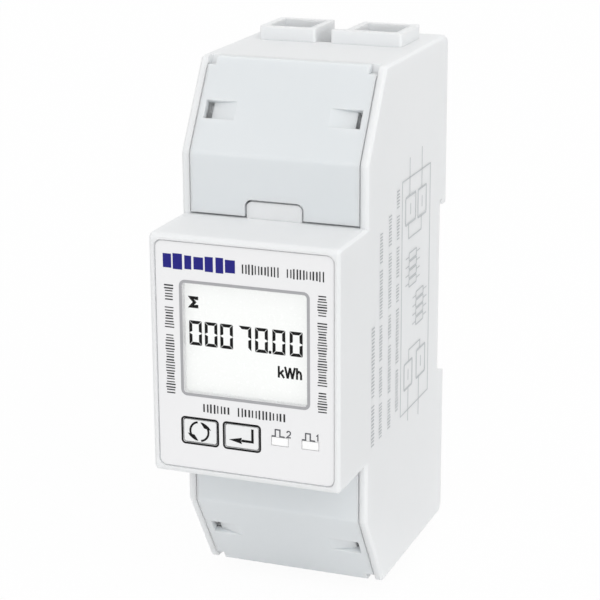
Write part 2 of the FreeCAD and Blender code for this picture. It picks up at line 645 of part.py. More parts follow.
def rail_clip():
    """The sliding rail clip: hook, two spring arms cut out of its wings, and a pull slot."""
    half = CLIP_WIDTH / 2
    body = box((-half, half), (CLIP_FRONT, CLIP_REAR), (-HALF_HEIGHT, -CLIP_TOP))
    wings = box((-half - CLIP_WING, half + CLIP_WING),
                (CLIP_FRONT, CLIP_FRONT + CLIP_WING_THICKNESS), (-HALF_HEIGHT, -CLIP_WINGS_TOP))
    clip = body.fuse(wings)
    ramp = side_prism([(CLIP_REAR + PAST, -CLIP_TOP + PAST), (CLIP_REAR - CLIP_RAMP, -CLIP_TOP + PAST),
                       (CLIP_REAR - CLIP_RAMP, -CLIP_TOP), (CLIP_REAR, -CLIP_TOP - CLIP_RAMP),
                       (CLIP_REAR + PAST, -CLIP_TOP - CLIP_RAMP)], (-half - PAST, half + PAST))
    cuts = [ramp]
    slot_low = -HALF_HEIGHT + CLIP_SLOT_LOW
    cuts.append(slab((0, slot_low + CLIP_SLOT_HEIGHT / 2), (CLIP_SLOT_WIDTH, CLIP_SLOT_HEIGHT),
                     CLIP_SLOT_ROUND, (CLIP_FRONT - PAST, CLIP_REAR + PAST)))
    arm_top = -CLIP_WINGS_TOP
    for side in (-1, 1):
        inner = half - CLIP_ARM_INSET
        cuts.append(box((side * inner, side * (inner + CLIP_ARM_SLOT)), (CLIP_FRONT - PAST, CLIP_REAR + PAST),
                        (arm_top - CLIP_ARM_LENGTH, arm_top + PAST)))
    return clip.cut(cuts).removeSplitter()


def pocket_slot(side, depth):
    """The narrow slot at the outer end of a cover's pocket, as a tool of the given depth."""
    inner, outer = side * (POCKET_END - POCKET_SLOT), side * POCKET_END
    outline = [(inner, -SKIM), (outer, -SKIM), (outer, depth), (inner, depth)]
    return slant_prism(outline, (POCKET_LOW, POCKET_HIGH))


def cover_panel():
    """The upper cover's bent panel, with its notch, pockets and corner reliefs."""
    bottom = NOSE_HALF + COVER_SEAM
    inner_bend = slant_height(-SHOULDER_DEPTH + WALL, WALL)
    outline = [(-SHOULDER_DEPTH, bottom), (-SHOULDER_DEPTH, SHOULDER_HALF), (-ROOF_DEPTH, HALF_HEIGHT),
               (slant_depth(HALF_HEIGHT, WALL), HALF_HEIGHT),
               (-SHOULDER_DEPTH + WALL, inner_bend), (-SHOULDER_DEPTH + WALL, bottom)]
    panel = side_prism(outline, (-COVER_HALF, COVER_HALF))
    bend = edges_along_x_at(panel, [(-SHOULDER_DEPTH, SHOULDER_HALF)])
    panel = panel.makeFillet(BEND_ROUND, bend)
    tip = edges_along_x_at(panel, [(-ROOF_DEPTH, HALF_HEIGHT)])
    panel = panel.makeFillet(NOSE_ROUND / 2, tip)
    cuts = []
    for side in (-1, 1):
        ramp = [(side * POCKET_START, -SKIM), (side * POCKET_END, -SKIM),
                (side * POCKET_END, POCKET_DEPTH), (side * (POCKET_END - POCKET_SLOT), POCKET_DEPTH)]
        cuts.append(slant_prism(ramp, (POCKET_LOW, POCKET_HIGH)))
        cuts.append(pocket_slot(side, WALL + COVER_CLEARANCE))
        corner = HALF_HEIGHT - CORNER_RELIEF
        cuts.append(box((side * (COVER_HALF - CORNER_RELIEF), side * WIDTH), (-SHOULDER_DEPTH, 0),
                        (corner, HALF_HEIGHT + PAST)))
    notch_height = 2 * (TONGUE_HEIGHT + TONGUE_GAP)
    cuts.append(slab((0, NOSE_HALF), (TONGUE_WIDTH + 2 * TONGUE_GAP, notch_height),
                     TONGUE_ROUND + TONGUE_GAP, (-SHOULDER_DEPTH - PAST, -SHOULDER_DEPTH + 2 * WALL)))
    return panel.cut(cuts)


def terminal_cover(upper):
    """A terminal cover: its bent panel and two legs whose tabs enter the deck."""
    low = NOSE_HALF + LEG_LOW
    middle = low + LEG_HEIGHT / 2
    legs = []
    for side in (-1, 1):
        x = (side * (COVER_HALF - LEG_THICKNESS), side * COVER_HALF)
        legs.append(box(x, (-SHOULDER_DEPTH + WALL / 2, DECK_FRONT - SEAM), (low, low + LEG_HEIGHT)))
        legs.append(box(x, (DECK_FRONT - PAST, DECK_REAR + TAB_REACH),
                        (middle - TAB_HEIGHT / 2, middle + TAB_HEIGHT / 2)))
    return on_half(join([cover_panel()] + legs), upper)


def front_label():
    """The printed label in its recess, cut out for the window, the keys and the lamps."""
    sheet = slab((0, 0), (2 * LABEL_HALF_WIDTH, 2 * LABEL_HALF_HEIGHT), LABEL_ROUND,
                 (LABEL_FRONT, LABEL_BACK))
    return sheet.cut(through_face(FIT, (LABEL_FRONT - PAST, LABEL_BACK + PAST)))


def display_window():
    """The clear window, flush with the label, with a flange behind the housing's face."""
    pane = slab((0, WINDOW_CENTRE), (WINDOW_WIDTH, WINDOW_HEIGHT), WINDOW_ROUND,
                (LABEL_FRONT, WINDOW_BACK))
    flange = slab((0, WINDOW_CENTRE), (WINDOW_WIDTH + 2 * WINDOW_FLANGE, WINDOW_HEIGHT + 2 * WINDOW_FLANGE),
                  WINDOW_ROUND, (FACE_INNER, WINDOW_BACK))
    return join([pane, flange])


def glass_size():
    """Width and height of the display glass."""
    return WINDOW_WIDTH + 2 * GLASS_MARGIN, WINDOW_HEIGHT + 2 * GLASS_MARGIN


def centred_box(size, y):
    """A block of the given width and height, centred on the window, between two depths."""
    half_width, half_height = size[0] / 2, size[1] / 2
    return box((-half_width, half_width), y, (WINDOW_CENTRE - half_height, WINDOW_CENTRE + half_height))


def lcd_glass():
    """The liquid crystal glass behind the window."""
    return centred_box(glass_size(), (GLASS_FRONT, GLASS_BACK))


def strip_z():
    """Lower and upper edge of the elastomer strip at the glass's lower edge."""
    low = WINDOW_CENTRE - glass_size()[1] / 2 + FIT
    return low, low + STRIP_THICKNESS


def lcd_backlight():
    """The white light guide behind the glass, above the elastomer strip."""
    width, height = glass_size()
    top = WINDOW_CENTRE + height / 2
    return box((-width / 2, width / 2), (GLASS_BACK, BACKLIGHT_BACK), (strip_z()[1] + FIT, top))


def elastomer_connector():
    """The soft strip that joins the glass's contacts to the display board."""
    width = WINDOW_WIDTH
    return box((-width / 2, width / 2), (GLASS_BACK, DISPLAY_BOARD_FRONT), strip_z())


def lcd_holder():
    """The frame on the display board that holds the glass, the light guide and the strip."""
    width, height = glass_size()
    play = 2 * FIT
    outer = slab((0, WINDOW_CENTRE), (width + 2 * HOLDER_WALL + play, height + 2 * HOLDER_WALL + play),
                 HOLDER_WALL, (WINDOW_BACK, DISPLAY_BOARD_FRONT))
    pocket = centred_box((width + play, height + play), (WINDOW_BACK - PAST, BACKLIGHT_BACK))
    low, high = strip_z()
    well = box((HOLDER_SHELF - width / 2, width / 2 - HOLDER_SHELF),
               (BACKLIGHT_BACK - PAST, DISPLAY_BOARD_FRONT + PAST),
               (high + FIT + HOLDER_SHELF, WINDOW_CENTRE + height / 2 - HOLDER_SHELF))
    strip = box((-WINDOW_WIDTH / 2 - FIT, WINDOW_WIDTH / 2 + FIT),
                (BACKLIGHT_BACK - PAST, DISPLAY_BOARD_FRONT + PAST), (low - FIT, high + FIT))
    return outer.cut([pocket, well, strip])


def plunger_top():
    """Y of the end of a switch's plunger that the key pushes."""
    return DISPLAY_BOARD_FRONT - SWITCH_HEIGHT - PLUNGER_RISE


def key(x):
    """A key cap with the rim that keeps it behind the face, and its stem."""
    cap = slab((x, KEY_CENTRE), (KEY_WIDTH, KEY_HEIGHT), KEY_ROUND,
               (LABEL_FRONT, FACE_INNER + THREAD_PLAY + KEY_RIM_THICKNESS))
    rim = slab((x, KEY_CENTRE), (KEY_WIDTH + 2 * KEY_RIM, KEY_HEIGHT + 2 * (KEY_GAP + KEY_RIM)), KEY_ROUND,
               (FACE_INNER + THREAD_PLAY, FACE_INNER + THREAD_PLAY + KEY_RIM_THICKNESS))
    stem = post(KEY_STEM_RADIUS, x, (FACE_INNER + FIT, plunger_top() - THREAD_PLAY), KEY_CENTRE)
    return join([cap, rim, stem])


def switch_body(x):
    """A push switch on the display board, with the well of its plunger."""
    half = SWITCH_SIZE / 2
    y = (DISPLAY_BOARD_FRONT - SWITCH_HEIGHT, DISPLAY_BOARD_FRONT)
    body = box((x - half, x + half), y, (KEY_CENTRE - half, KEY_CENTRE + half))
    well = post(PLUNGER_RADIUS + THREAD_PLAY, x, (y[0] - PAST, y[0] + PLUNGER_SEAT + 2 * KEY_TRAVEL),
                KEY_CENTRE)
    return body.cut(well)


def switch_plunger(x):
    """The plunger of a push switch, which moves with its key."""
    return post(PLUNGER_RADIUS, x, (plunger_top(), plunger_top() + PLUNGER_RISE + PLUNGER_SEAT), KEY_CENTRE)


def light_pipe(x):
    """A clear light pipe from the label's face to its lamp, with a rim behind the face."""
    half_width, half_height = LAMP_WIDTH / 2, LAMP_HEIGHT / 2
    rod = box((x - half_width, x + half_width),
              (LABEL_FRONT, DISPLAY_BOARD_FRONT - LED_HEIGHT - LED_GAP),
              (LAMP_CENTRE - half_height, LAMP_CENTRE + half_height))
    rim = box((x - half_width - LAMP_RIM, x + half_width + LAMP_RIM),
              (FACE_INNER, FACE_INNER + FLANGE_THICKNESS),
              (LAMP_CENTRE - half_height - LAMP_RIM, LAMP_CENTRE + half_height + LAMP_RIM))
    return join([rod, rim])


def pulse_led(x):
    """A small lamp on the display board with a domed lens."""
    half = LED_WIDTH / 2
    back = DISPLAY_BOARD_FRONT
    body = box((x - half, x + half), (back - LED_HEIGHT / 2, back),
               (LAMP_CENTRE - half / 2, LAMP_CENTRE + half / 2))
    lens = post(half / 2, x, (back - LED_HEIGHT, back), LAMP_CENTRE)
    return join([body, lens])


def display_board():
    """The board behind the face that carries the display, the switches and the lamps."""
    return box((-BOARD_HALF_WIDTH, BOARD_HALF_WIDTH), (DISPLAY_BOARD_FRONT, DISPLAY_BOARD_BACK),
               (-BOARD_HALF_HEIGHT, BOARD_HALF_HEIGHT))


def main_board():
    """The power and metering board, with a tongue at each end for a signal block."""
    y = (MAIN_BOARD_FRONT, MAIN_BOARD_BACK)
    reach = NOSE_HALF + FIT + SIGNAL_TALL
    return join([box((-BOARD_HALF_WIDTH, BOARD_HALF_WIDTH), y, (-BOARD_HALF_HEIGHT, BOARD_HALF_HEIGHT)),
                 box((-SIGNAL_HALF, SIGNAL_HALF), y, (-reach, reach))])


def chip(place, size, face):
    """A flat package with legs on two sides, on the rear face of a board."""
    x, z = place
    half_width, half_height, rise = size[0] / 2, size[1] / 2, size[2]
    body = box((x - half_width, x + half_width), (face + CHIP_LIFT, face + rise),
               (z - half_height, z + half_height))
    leg_half = half_height - CHIP_LEG_INSET
    legs = [box((x + side * (half_width - CHIP_LEG), x + side * (half_width + CHIP_LEG)),
                (face, face + CHIP_LEG_RISE), (z - leg_half, z + leg_half)) for side in (-1, 1)]
    return join([body] + legs)


def can(place, radius, length):
    """A round capacitor can with a bevelled top, standing on the main board."""
    x, z = place
    outline = [(0, 0), (radius, 0), (radius, length - CAN_EDGE), (radius - CAN_EDGE, length), (0, length)]
    points = [Vector(x + r, MAIN_BOARD_FRONT - rise, z) for r, rise in outline]
    profile = Part.Face(Part.makePolygon(points + points[:1]))
    return profile.revolve(Vector(x, MAIN_BOARD_FRONT, z), Vector(0, 1, 0), 360)


def crystal():
    """The clock crystal's oval can, on the back of the display board."""
    return slab(CRYSTAL_PLACE, CRYSTAL_SIZE[:2], CRYSTAL_SIZE[1] / 2,
                (DISPLAY_BOARD_BACK, DISPLAY_BOARD_BACK + CRYSTAL_SIZE[2]))


def film_capacitor():
    """The moulded film capacitor at the supply's input."""
    x, z = FILM_CAPACITOR_PLACE
    width, height, rise = FILM_CAPACITOR_SIZE
    return box((x - width / 2, x + width / 2), (MAIN_BOARD_FRONT - rise, MAIN_BOARD_FRONT),
               (z - height / 2, z + height / 2))


def lead(x, depth, z):
    """A square lead at x and z, from the main board up to a depth."""
    return box((x - LEAD / 2, x + LEAD / 2), (depth, MAIN_BOARD_FRONT), (z - LEAD / 2, z + LEAD / 2))


def varistor():
    """The round varistor disc, standing on its two legs."""
    x, z = VARISTOR_PLACE
    centre = MAIN_BOARD_FRONT - VARISTOR_LIFT - VARISTOR_RADIUS
    disc = Part.makeCylinder(VARISTOR_RADIUS, VARISTOR_THICKNESS, Vector(x, centre, z), Vector(0, 0, 1))
    legs = [lead(x + side * VARISTOR_PITCH / 2, centre, z + VARISTOR_THICKNESS - LEAD / 2)
            for side in (-1, 1)]
    return join([disc] + legs)


def transformer_core():
    """The supply transformer's ferrite core, with a window on each side of its middle limb."""
    x, z = CORE_PLACE
    rear = MAIN_BOARD_FRONT - CORE_LIFT
    front = rear - CORE_SIZE[2]
    outer = box((x - CORE_SIZE[0] / 2, x + CORE_SIZE[0] / 2), (front, rear),
                (z - CORE_SIZE[1] / 2, z + CORE_SIZE[1] / 2))
    windows = [box((x + side * CORE_LIMB / 2, x + side * (CORE_LIMB / 2 + CORE_WINDOW)),
                   (front + CORE_YOKE, rear - CORE_YOKE), (z - CORE_SIZE[1], z + CORE_SIZE[1]))
               for side in (-1, 1)]
    return outer.cut(windows)


def bobbin_depths():
    """Y of the bobbin's front and rear ends in the core's windows."""
    rear = MAIN_BOARD_FRONT - CORE_LIFT - CORE_YOKE - FIT
    return rear - CORE_SIZE[2] + 2 * (CORE_YOKE + FIT), rear


def bobbin_tube():
    """The square tube that the wire is wound on, still solid inside."""
    x, z = CORE_PLACE
    half_width, half_height = CORE_LIMB / 2 + BOBBIN_WALL, CORE_SIZE[1] / 2 + BOBBIN_WALL
    return box((x - half_width, x + half_width), bobbin_depths(), (z - half_height, z + half_height))


def transformer_bobbin():
    """The bobbin: a tube round the core's middle limb, two flanges and two feet."""
    x, z = CORE_PLACE
    front, rear = bobbin_depths()
    half_width, half_height = CORE_LIMB / 2 + CORE_WINDOW - FIT, BOBBIN_DEPTH / 2
    across = (x - half_width, x + half_width)
    flanges = [box(across, y, (z - half_height, z + half_height))
               for y in ((front, front + BOBBIN_FLANGE), (rear - BOBBIN_FLANGE, rear))]
    feet = [box(across, (rear - BOBBIN_FLANGE / 2, MAIN_BOARD_FRONT),
                (z + side * (half_height - BOBBIN_FOOT), z + side * half_height)) for side in (-1, 1)]
    limb = box((x - CORE_LIMB / 2, x + CORE_LIMB / 2), (front - PAST, MAIN_BOARD_FRONT + PAST),
               (z - CORE_SIZE[1] / 2, z + CORE_SIZE[1] / 2))
    return join(flanges + feet + [bobbin_tube()]).cut(limb)


def transformer_winding():
    """The wire and tape wound on the bobbin, between its flanges."""
    front, rear = bobbin_depths()
    coil = slab(CORE_PLACE, WINDING_SIZE, WINDING_ROUND, (front + BOBBIN_FLANGE, rear - BOBBIN_FLANGE))
    return coil.cut(bobbin_tube())


def fuse_resistor():
    """The fusible resistor, lying above the board on its bent leads."""
    x, z = FUSE_PLACE
    centre = MAIN_BOARD_FRONT - FUSE_RADIUS - FUSE_LIFT
    half = LEAD / 2
    foot = Vector(x, centre, z - FUSE_LENGTH / 2)
    body = Part.makeCylinder(FUSE_RADIUS, FUSE_LENGTH, foot, Vector(0, 0, 1))
    wire = box((x - half, x + half), (centre - half, centre + half), (z - FUSE_PITCH / 2, z + FUSE_PITCH / 2))
    return join([body, wire] + [lead(x, centre - half, z + side * FUSE_PITCH / 2) for side in (-1, 1)])


def busbar(x, low, high):
    """A flat copper bar at x between two heights."""
    return box((x - BAR_HALF, x + BAR_HALF), (BAR_FRONT, BAR_REAR), (low, high))


def terminal_cage(side, upper):
    """A rising cage: threaded front plate, two sides and the plate behind the conductor."""
    x, low, high = side * POLE_X, CAGE_Z - CAGE_HEIGHT / 2, CAGE_Z + CAGE_HEIGHT / 2
    outer = box((x - CAGE_HALF, x + CAGE_HALF), (CAGE_FRONT, -CAGE_REAR), (low, high))
    inner_half = CAGE_HALF - CAGE_SHEET
    space = box((x - inner_half, x + inner_half), (CAGE_FRONT + CAGE_PLATE, -CAGE_REAR - CAGE_SHEET),
                (low - PAST, high + PAST))
    hole = post(SCREW_RADIUS + THREAD_PLAY, x, (CAGE_FRONT - PAST, CAGE_FRONT + CAGE_PLATE + PAST), CAGE_Z)
    return on_half(outer.cut([space, hole]), upper)


def terminal_screw(side, upper):
    """A captive terminal screw with a combined slot and cross drive."""
    x = side * POLE_X
    head_front = DECK_REAR + SEAM
    head_back = head_front + SCREW_HEAD_HEIGHT
    head = post(SCREW_HEAD_RADIUS, x, (head_front, head_back), CAGE_Z)
    shank = post(SCREW_RADIUS, x, (head_back - ROOT, BAR_FRONT - SCREW_TIP_GAP), CAGE_Z)
    y = (head_front - PAST, head_front + DRIVE_DEPTH)
    drive = [box((x - SCREW_HEAD_RADIUS, x + SCREW_HEAD_RADIUS), y,
                 (CAGE_Z - DRIVE_SLOT / 2, CAGE_Z + DRIVE_SLOT / 2)),
             box((x - DRIVE_SLOT / 2, x + DRIVE_SLOT / 2), y,
                 (CAGE_Z - DRIVE_CROSS / 2, CAGE_Z + DRIVE_CROSS / 2))]
    return on_half(join([head, shank]).cut(drive), upper)


def pole_centres():
    """X of each pole of a signal block."""
    return [(index - (SIGNAL_POLES - 1) / 2) * SIGNAL_PITCH for index in range(SIGNAL_POLES)]


def signal_heights():
    """Z of a signal block's lower edge, wire entries, screws and upper edge."""
    low = NOSE_HALF + FIT
    return low, low + SIGNAL_ENTRY_HIGH, low + SIGNAL_SCREW_HIGH, low + SIGNAL_TALL


def signal_terminal(upper):
    """The signal terminal block: a screw and a wire entry for each pole."""
    low, entry, screw, high = signal_heights()
    front = DECK_FRONT + SIGNAL_SETBACK
    block = box((-SIGNAL_HALF, SIGNAL_HALF), (front, MAIN_BOARD_FRONT), (low, high))
    cuts = []
    half, well = SIGNAL_ENTRY / 2, SIGNAL_SCREW_RADIUS + FIT
    y = (front - PAST, MAIN_BOARD_FRONT - SIGNAL_BACK)
    for x in pole_centres():
        cuts.append(box((x - half, x + half), y, (entry - half, entry + half)))
        cuts.append(box((x - well, x + well), y, (screw - well, screw + well)))
    return on_half(block.cut(cuts), upper)


def signal_screws(upper):
    """The three small screws of a signal block, each with its slot."""
    screw_z = signal_heights()[2]
    front = DECK_FRONT + SIGNAL_SETBACK + SIGNAL_SCREW_SINK
    slot_half, slot_depth = SIGNAL_SCREW_SLOT[0] / 2, SIGNAL_SCREW_SLOT[1]
    screws = []
    for x in pole_centres():
        screw = post(SIGNAL_SCREW_RADIUS, x, (front, front + SIGNAL_SCREW_LENGTH), screw_z)
        slot = box((x - SIGNAL_SCREW_RADIUS, x + SIGNAL_SCREW_RADIUS), (front - PAST, front + slot_depth),
                   (screw_z - slot_half, screw_z + slot_half))
        screws.append(on_half(screw.cut(slot), upper))
    return screws


def signal_clamps(upper):
    """The three small brass clamps at the back of a signal block's wire entries."""
    entry = signal_heights()[1]
    half = SIGNAL_ENTRY / 2 - THREAD_PLAY
    inner = half - CLAMP_WALL
    back = MAIN_BOARD_FRONT - SIGNAL_BACK
    clamps = []
    for x in pole_centres():
        clamp = box((x - half, x + half), (back - CLAMP_LENGTH, back), (entry - half, entry + half))
        bore = box((x - inner, x + inner), (back - CLAMP_LENGTH - PAST, back - CLAMP_WALL),
                   (entry - inner, entry + inner))
        clamps.append(on_half(clamp.cut(bore), upper))
    return clamps


def sense_pins():
    """The pins that join the shunt's two ends to the main board."""
    half, z = SENSE_PIN / 2, SENSE_PIN_SPACING / 2
    return [box((-POLE_X - half, -POLE_X + half), (MAIN_BOARD_BACK, BAR_FRONT),
                (side * z - half, side * z + half)) for side in (-1, 1)]


def current_shunt():
    """The resistive strip between the two line bars, thinner than they are."""
    half = SHUNT_LENGTH / 2
    strip = box((-POLE_X - BAR_HALF, -POLE_X + BAR_HALF), (BAR_FRONT, BAR_FRONT + SHUNT_THICKNESS),
                (-half, half))
    edge = -POLE_X + BAR_HALF
    notch = box((edge - SHUNT_TRIM[0], edge + PAST), (BAR_FRONT - PAST, BAR_REAR + PAST),
                (-SHUNT_TRIM[1] / 2, SHUNT_TRIM[1] / 2))
    return strip.cut(notch)


def stacking_connector():
    """The tall connector that joins the two boards."""
    body = box(CONNECTOR_X, (DISPLAY_BOARD_BACK, MAIN_BOARD_FRONT), CONNECTOR_Z)
    notch = box((CONNECTOR_X[1] - CONNECTOR_NOTCH, CONNECTOR_X[1] + PAST),
                (DISPLAY_BOARD_BACK + CONNECTOR_END, MAIN_BOARD_FRONT - CONNECTOR_END),
                (CONNECTOR_Z[0] - PAST, CONNECTOR_Z[1] + PAST))
    return body.cut(notch)


def all_nodes():
    """Every node's name and its solids."""
    half_shunt = SHUNT_LENGTH / 2
    nodes = {
        "housing_shell": [housing_shell()],
        "rear_base": [rear_base()],
        "housing_screws": housing_screws(),
        "rail_clip": [rail_clip()],
        "front_label": [front_label()],
        "display_window": [display_window()],
        "lcd_glass": [lcd_glass()],
        "lcd_backlight": [lcd_backlight()],
        "lcd_holder": [lcd_holder()],
        "elastomer_connector": [elastomer_connector()],
        "display_board": [display_board()],
        "main_board": [main_board()],
        "stacking_connector": [stacking_connector()],
        "microcontroller": [chip(MICROCONTROLLER_PLACE, MICROCONTROLLER_SIZE, DISPLAY_BOARD_BACK)],
        "crystal": [crystal()],
        "metering_chip": [chip(METERING_CHIP_PLACE, METERING_CHIP_SIZE, MAIN_BOARD_BACK)],
        "optocoupler_upper": [chip((0, OPTOCOUPLER_Z), OPTOCOUPLER_SIZE, MAIN_BOARD_BACK)],
        "optocoupler_lower": [chip((0, -OPTOCOUPLER_Z), OPTOCOUPLER_SIZE, MAIN_BOARD_BACK)],
        "transformer_core": [transformer_core()],
        "transformer_bobbin": [transformer_bobbin()],
        "transformer_winding": [transformer_winding()],
        "film_capacitor": [film_capacitor()],
        "varistor": [varistor()],
        "bulk_capacitor": [can(BULK_CAPACITOR_PLACE, BULK_CAPACITOR_RADIUS, BULK_CAPACITOR_RISE)],
        "output_capacitor": [can(OUTPUT_CAPACITOR_PLACE, OUTPUT_CAPACITOR_RADIUS, OUTPUT_CAPACITOR_RISE)],
        "fuse_resistor": [fuse_resistor()],
        "line_busbar_upper": [busbar(-POLE_X, half_shunt, BAR_TOP)],
        "line_busbar_lower": [busbar(-POLE_X, -BAR_TOP, -half_shunt)],
        "current_shunt": [current_shunt()],
        "neutral_busbar": [busbar(POLE_X, -BAR_TOP, BAR_TOP)],
        "sense_pins": sense_pins(),
    }
    for name, x in KEY_POSITIONS.items():
        nodes["key_" + name] = [key(x)]
        nodes["switch_body_" + name] = [switch_body(x)]
        nodes["switch_plunger_" + name] = [switch_plunger(x)]
    for name, x in LAMP_POSITIONS.items():
        nodes["light_pipe_" + name] = [light_pipe(x)]
        nodes["pulse_led_" + name] = [pulse_led(x)]
    for half, upper in (("upper", True), ("lower", False)):
        nodes["terminal_cover_" + half] = [terminal_cover(upper)]
        nodes["signal_terminal_" + half] = [signal_terminal(upper)]
        nodes["signal_screws_" + half] = signal_screws(upper)
        nodes["signal_clamps_" + half] = signal_clamps(upper)
        for pole, side in (("line", -1), ("neutral", 1)):
            nodes["terminal_cage_" + half + "_" + pole] = [terminal_cage(side, upper)]
            nodes["terminal_screw_" + half + "_" + pole] = [terminal_screw(side, upper)]
    return nodes


def write_all():
    """Write each node to its own STEP file and print what it holds."""
    os.makedirs("parts", exist_ok=True)
    for name, solids in all_nodes().items():
        whole = Part.makeCompound(solids)
        closed = all(solid.isValid() and len(solid.Solids) == 1 for solid in solids)
        print(f"{name}: {len(whole.Solids)} solid, {whole.Volume:.1f} mm3, "
              f"{'closed' if closed else 'NOT ONE CLOSED SOLID'}")
        shape = solids[0].Solids[0] if len(whole.Solids) == 1 else whole
        shape.exportStep(f"parts/{name}.step")


write_all()
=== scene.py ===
"""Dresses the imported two-module energy meter: its finishes, its print, its display, its screws and the studio."""
import logging
import math
from dataclasses import dataclass, field
from enum import Enum
from typing import Iterable, Optional

import bpy
import numpy as np
from mathutils import Matrix, Vector


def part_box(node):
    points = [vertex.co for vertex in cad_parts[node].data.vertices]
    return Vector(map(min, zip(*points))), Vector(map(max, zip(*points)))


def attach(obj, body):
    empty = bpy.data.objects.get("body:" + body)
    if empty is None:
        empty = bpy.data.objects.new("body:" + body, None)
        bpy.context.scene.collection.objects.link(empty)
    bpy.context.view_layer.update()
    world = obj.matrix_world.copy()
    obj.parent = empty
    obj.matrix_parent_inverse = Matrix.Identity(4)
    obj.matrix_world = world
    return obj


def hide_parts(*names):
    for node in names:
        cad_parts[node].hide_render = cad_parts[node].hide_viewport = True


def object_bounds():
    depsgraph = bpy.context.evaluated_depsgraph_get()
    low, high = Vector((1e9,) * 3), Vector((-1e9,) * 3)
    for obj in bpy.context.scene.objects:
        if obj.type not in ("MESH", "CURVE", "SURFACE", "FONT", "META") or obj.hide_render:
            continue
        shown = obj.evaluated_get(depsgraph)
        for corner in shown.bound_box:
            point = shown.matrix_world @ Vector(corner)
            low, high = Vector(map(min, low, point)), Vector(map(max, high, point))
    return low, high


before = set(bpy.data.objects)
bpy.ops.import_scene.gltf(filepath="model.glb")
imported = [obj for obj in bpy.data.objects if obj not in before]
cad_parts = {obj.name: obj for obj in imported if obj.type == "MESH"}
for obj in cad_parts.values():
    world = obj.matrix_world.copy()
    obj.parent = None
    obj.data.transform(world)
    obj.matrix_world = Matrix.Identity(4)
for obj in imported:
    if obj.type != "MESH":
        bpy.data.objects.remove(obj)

CAD_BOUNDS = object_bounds()
MM = 0.001
FACE_Y = -58.7                  # front of the label, the keys, the window and the lamps
SIDE_X = 18.0                   # right side of the housing
FILM = 0.03                     # thickness of print
SUNK = 0.01                     # how far print reaches into what carries it
TURN = 2 * math.pi
WAVE_UNIT = TURN / 20           # a wave texture's period at scale 1, in metres
PLASTIC_IOR = 1.5
MIRROR_LEVEL = 0.5              # specular level of a polished surface
USUAL_NOISE = {1: 0.3, 2: 0.7}  # where most of a noise lies, as a map range's inputs
LETTER_SIDE = 0.27              # how far a letter's two bars stand from its middle, in places of the row
WIDTH_WAVE = (0.18, 2.4)        # how much the bars' widths go up and down, and radians a place
HEIGHT_WAVE = (0.11, 1.7)       # the same for their heights
LOG = logging.getLogger("meter")

Socket = bpy.types.NodeSocket


def linear(colour: str) -> tuple[float, float, float, float]:
    """Turns an sRGB hex colour to linear values.

    Args:
        colour: "#RRGGBB".

    Returns:
        Linear red, green and blue, and alpha 1.
    """
    channels = np.array([int(colour[i:i + 2], 16) for i in (1, 3, 5)]) / 255
    low, high = channels / 12.92, ((channels + 0.055) / 1.055) ** 2.4
    return tuple(float(v) for v in np.where(channels <= 0.04045, low, high)) + (1.0,)


def add(tree: bpy.types.NodeTree, kind: str, inputs: Optional[dict] = None, **settings: object) -> bpy.types.Node:
    """Adds one shader node.

    Args:
        tree: The material's or world's node tree.
        kind: The node's type name.
        inputs: Values or sockets by input name or number.
        settings: Properties of the node itself.

    Returns:
        The new node.
    """
    node = tree.nodes.new(kind)
    for name, value in settings.items():
        setattr(node, name, value)
    for name, value in (inputs or {}).items():
        if isinstance(value, Socket):
            tree.links.new(value, node.inputs[name])
        else:
            node.inputs[name].default_value = value
    return node


@dataclass(frozen=True)
class Finish:
    """What every finish has: a name, and one material that is made on first use."""

    name: str

    def material(self) -> bpy.types.Material:
        """Makes the material, or finds it where it was made before.

        Returns:
            The finish's material.
        """
        known = bpy.data.materials.get(self.name)
        if known:
            return known
        made = bpy.data.materials.new(self.name)
        made.use_nodes = True
        tree = made.node_tree
        tree.nodes.clear()
        output = add(tree, "ShaderNodeOutputMaterial")
        place = add(tree, "ShaderNodeTexCoord").outputs["Object"]
        tree.links.new(self.shader(tree, place), output.inputs["Surface"])
        return made

    def shader(self, tree: bpy.types.NodeTree, place: Socket) -> Socket:
        """Builds the finish's nodes; each kind of finish has its own.

        Args:
            tree: The material's node tree.
            place: Object coordinates.

        Returns:
            The surface's shader.
        """
        raise NotImplementedError


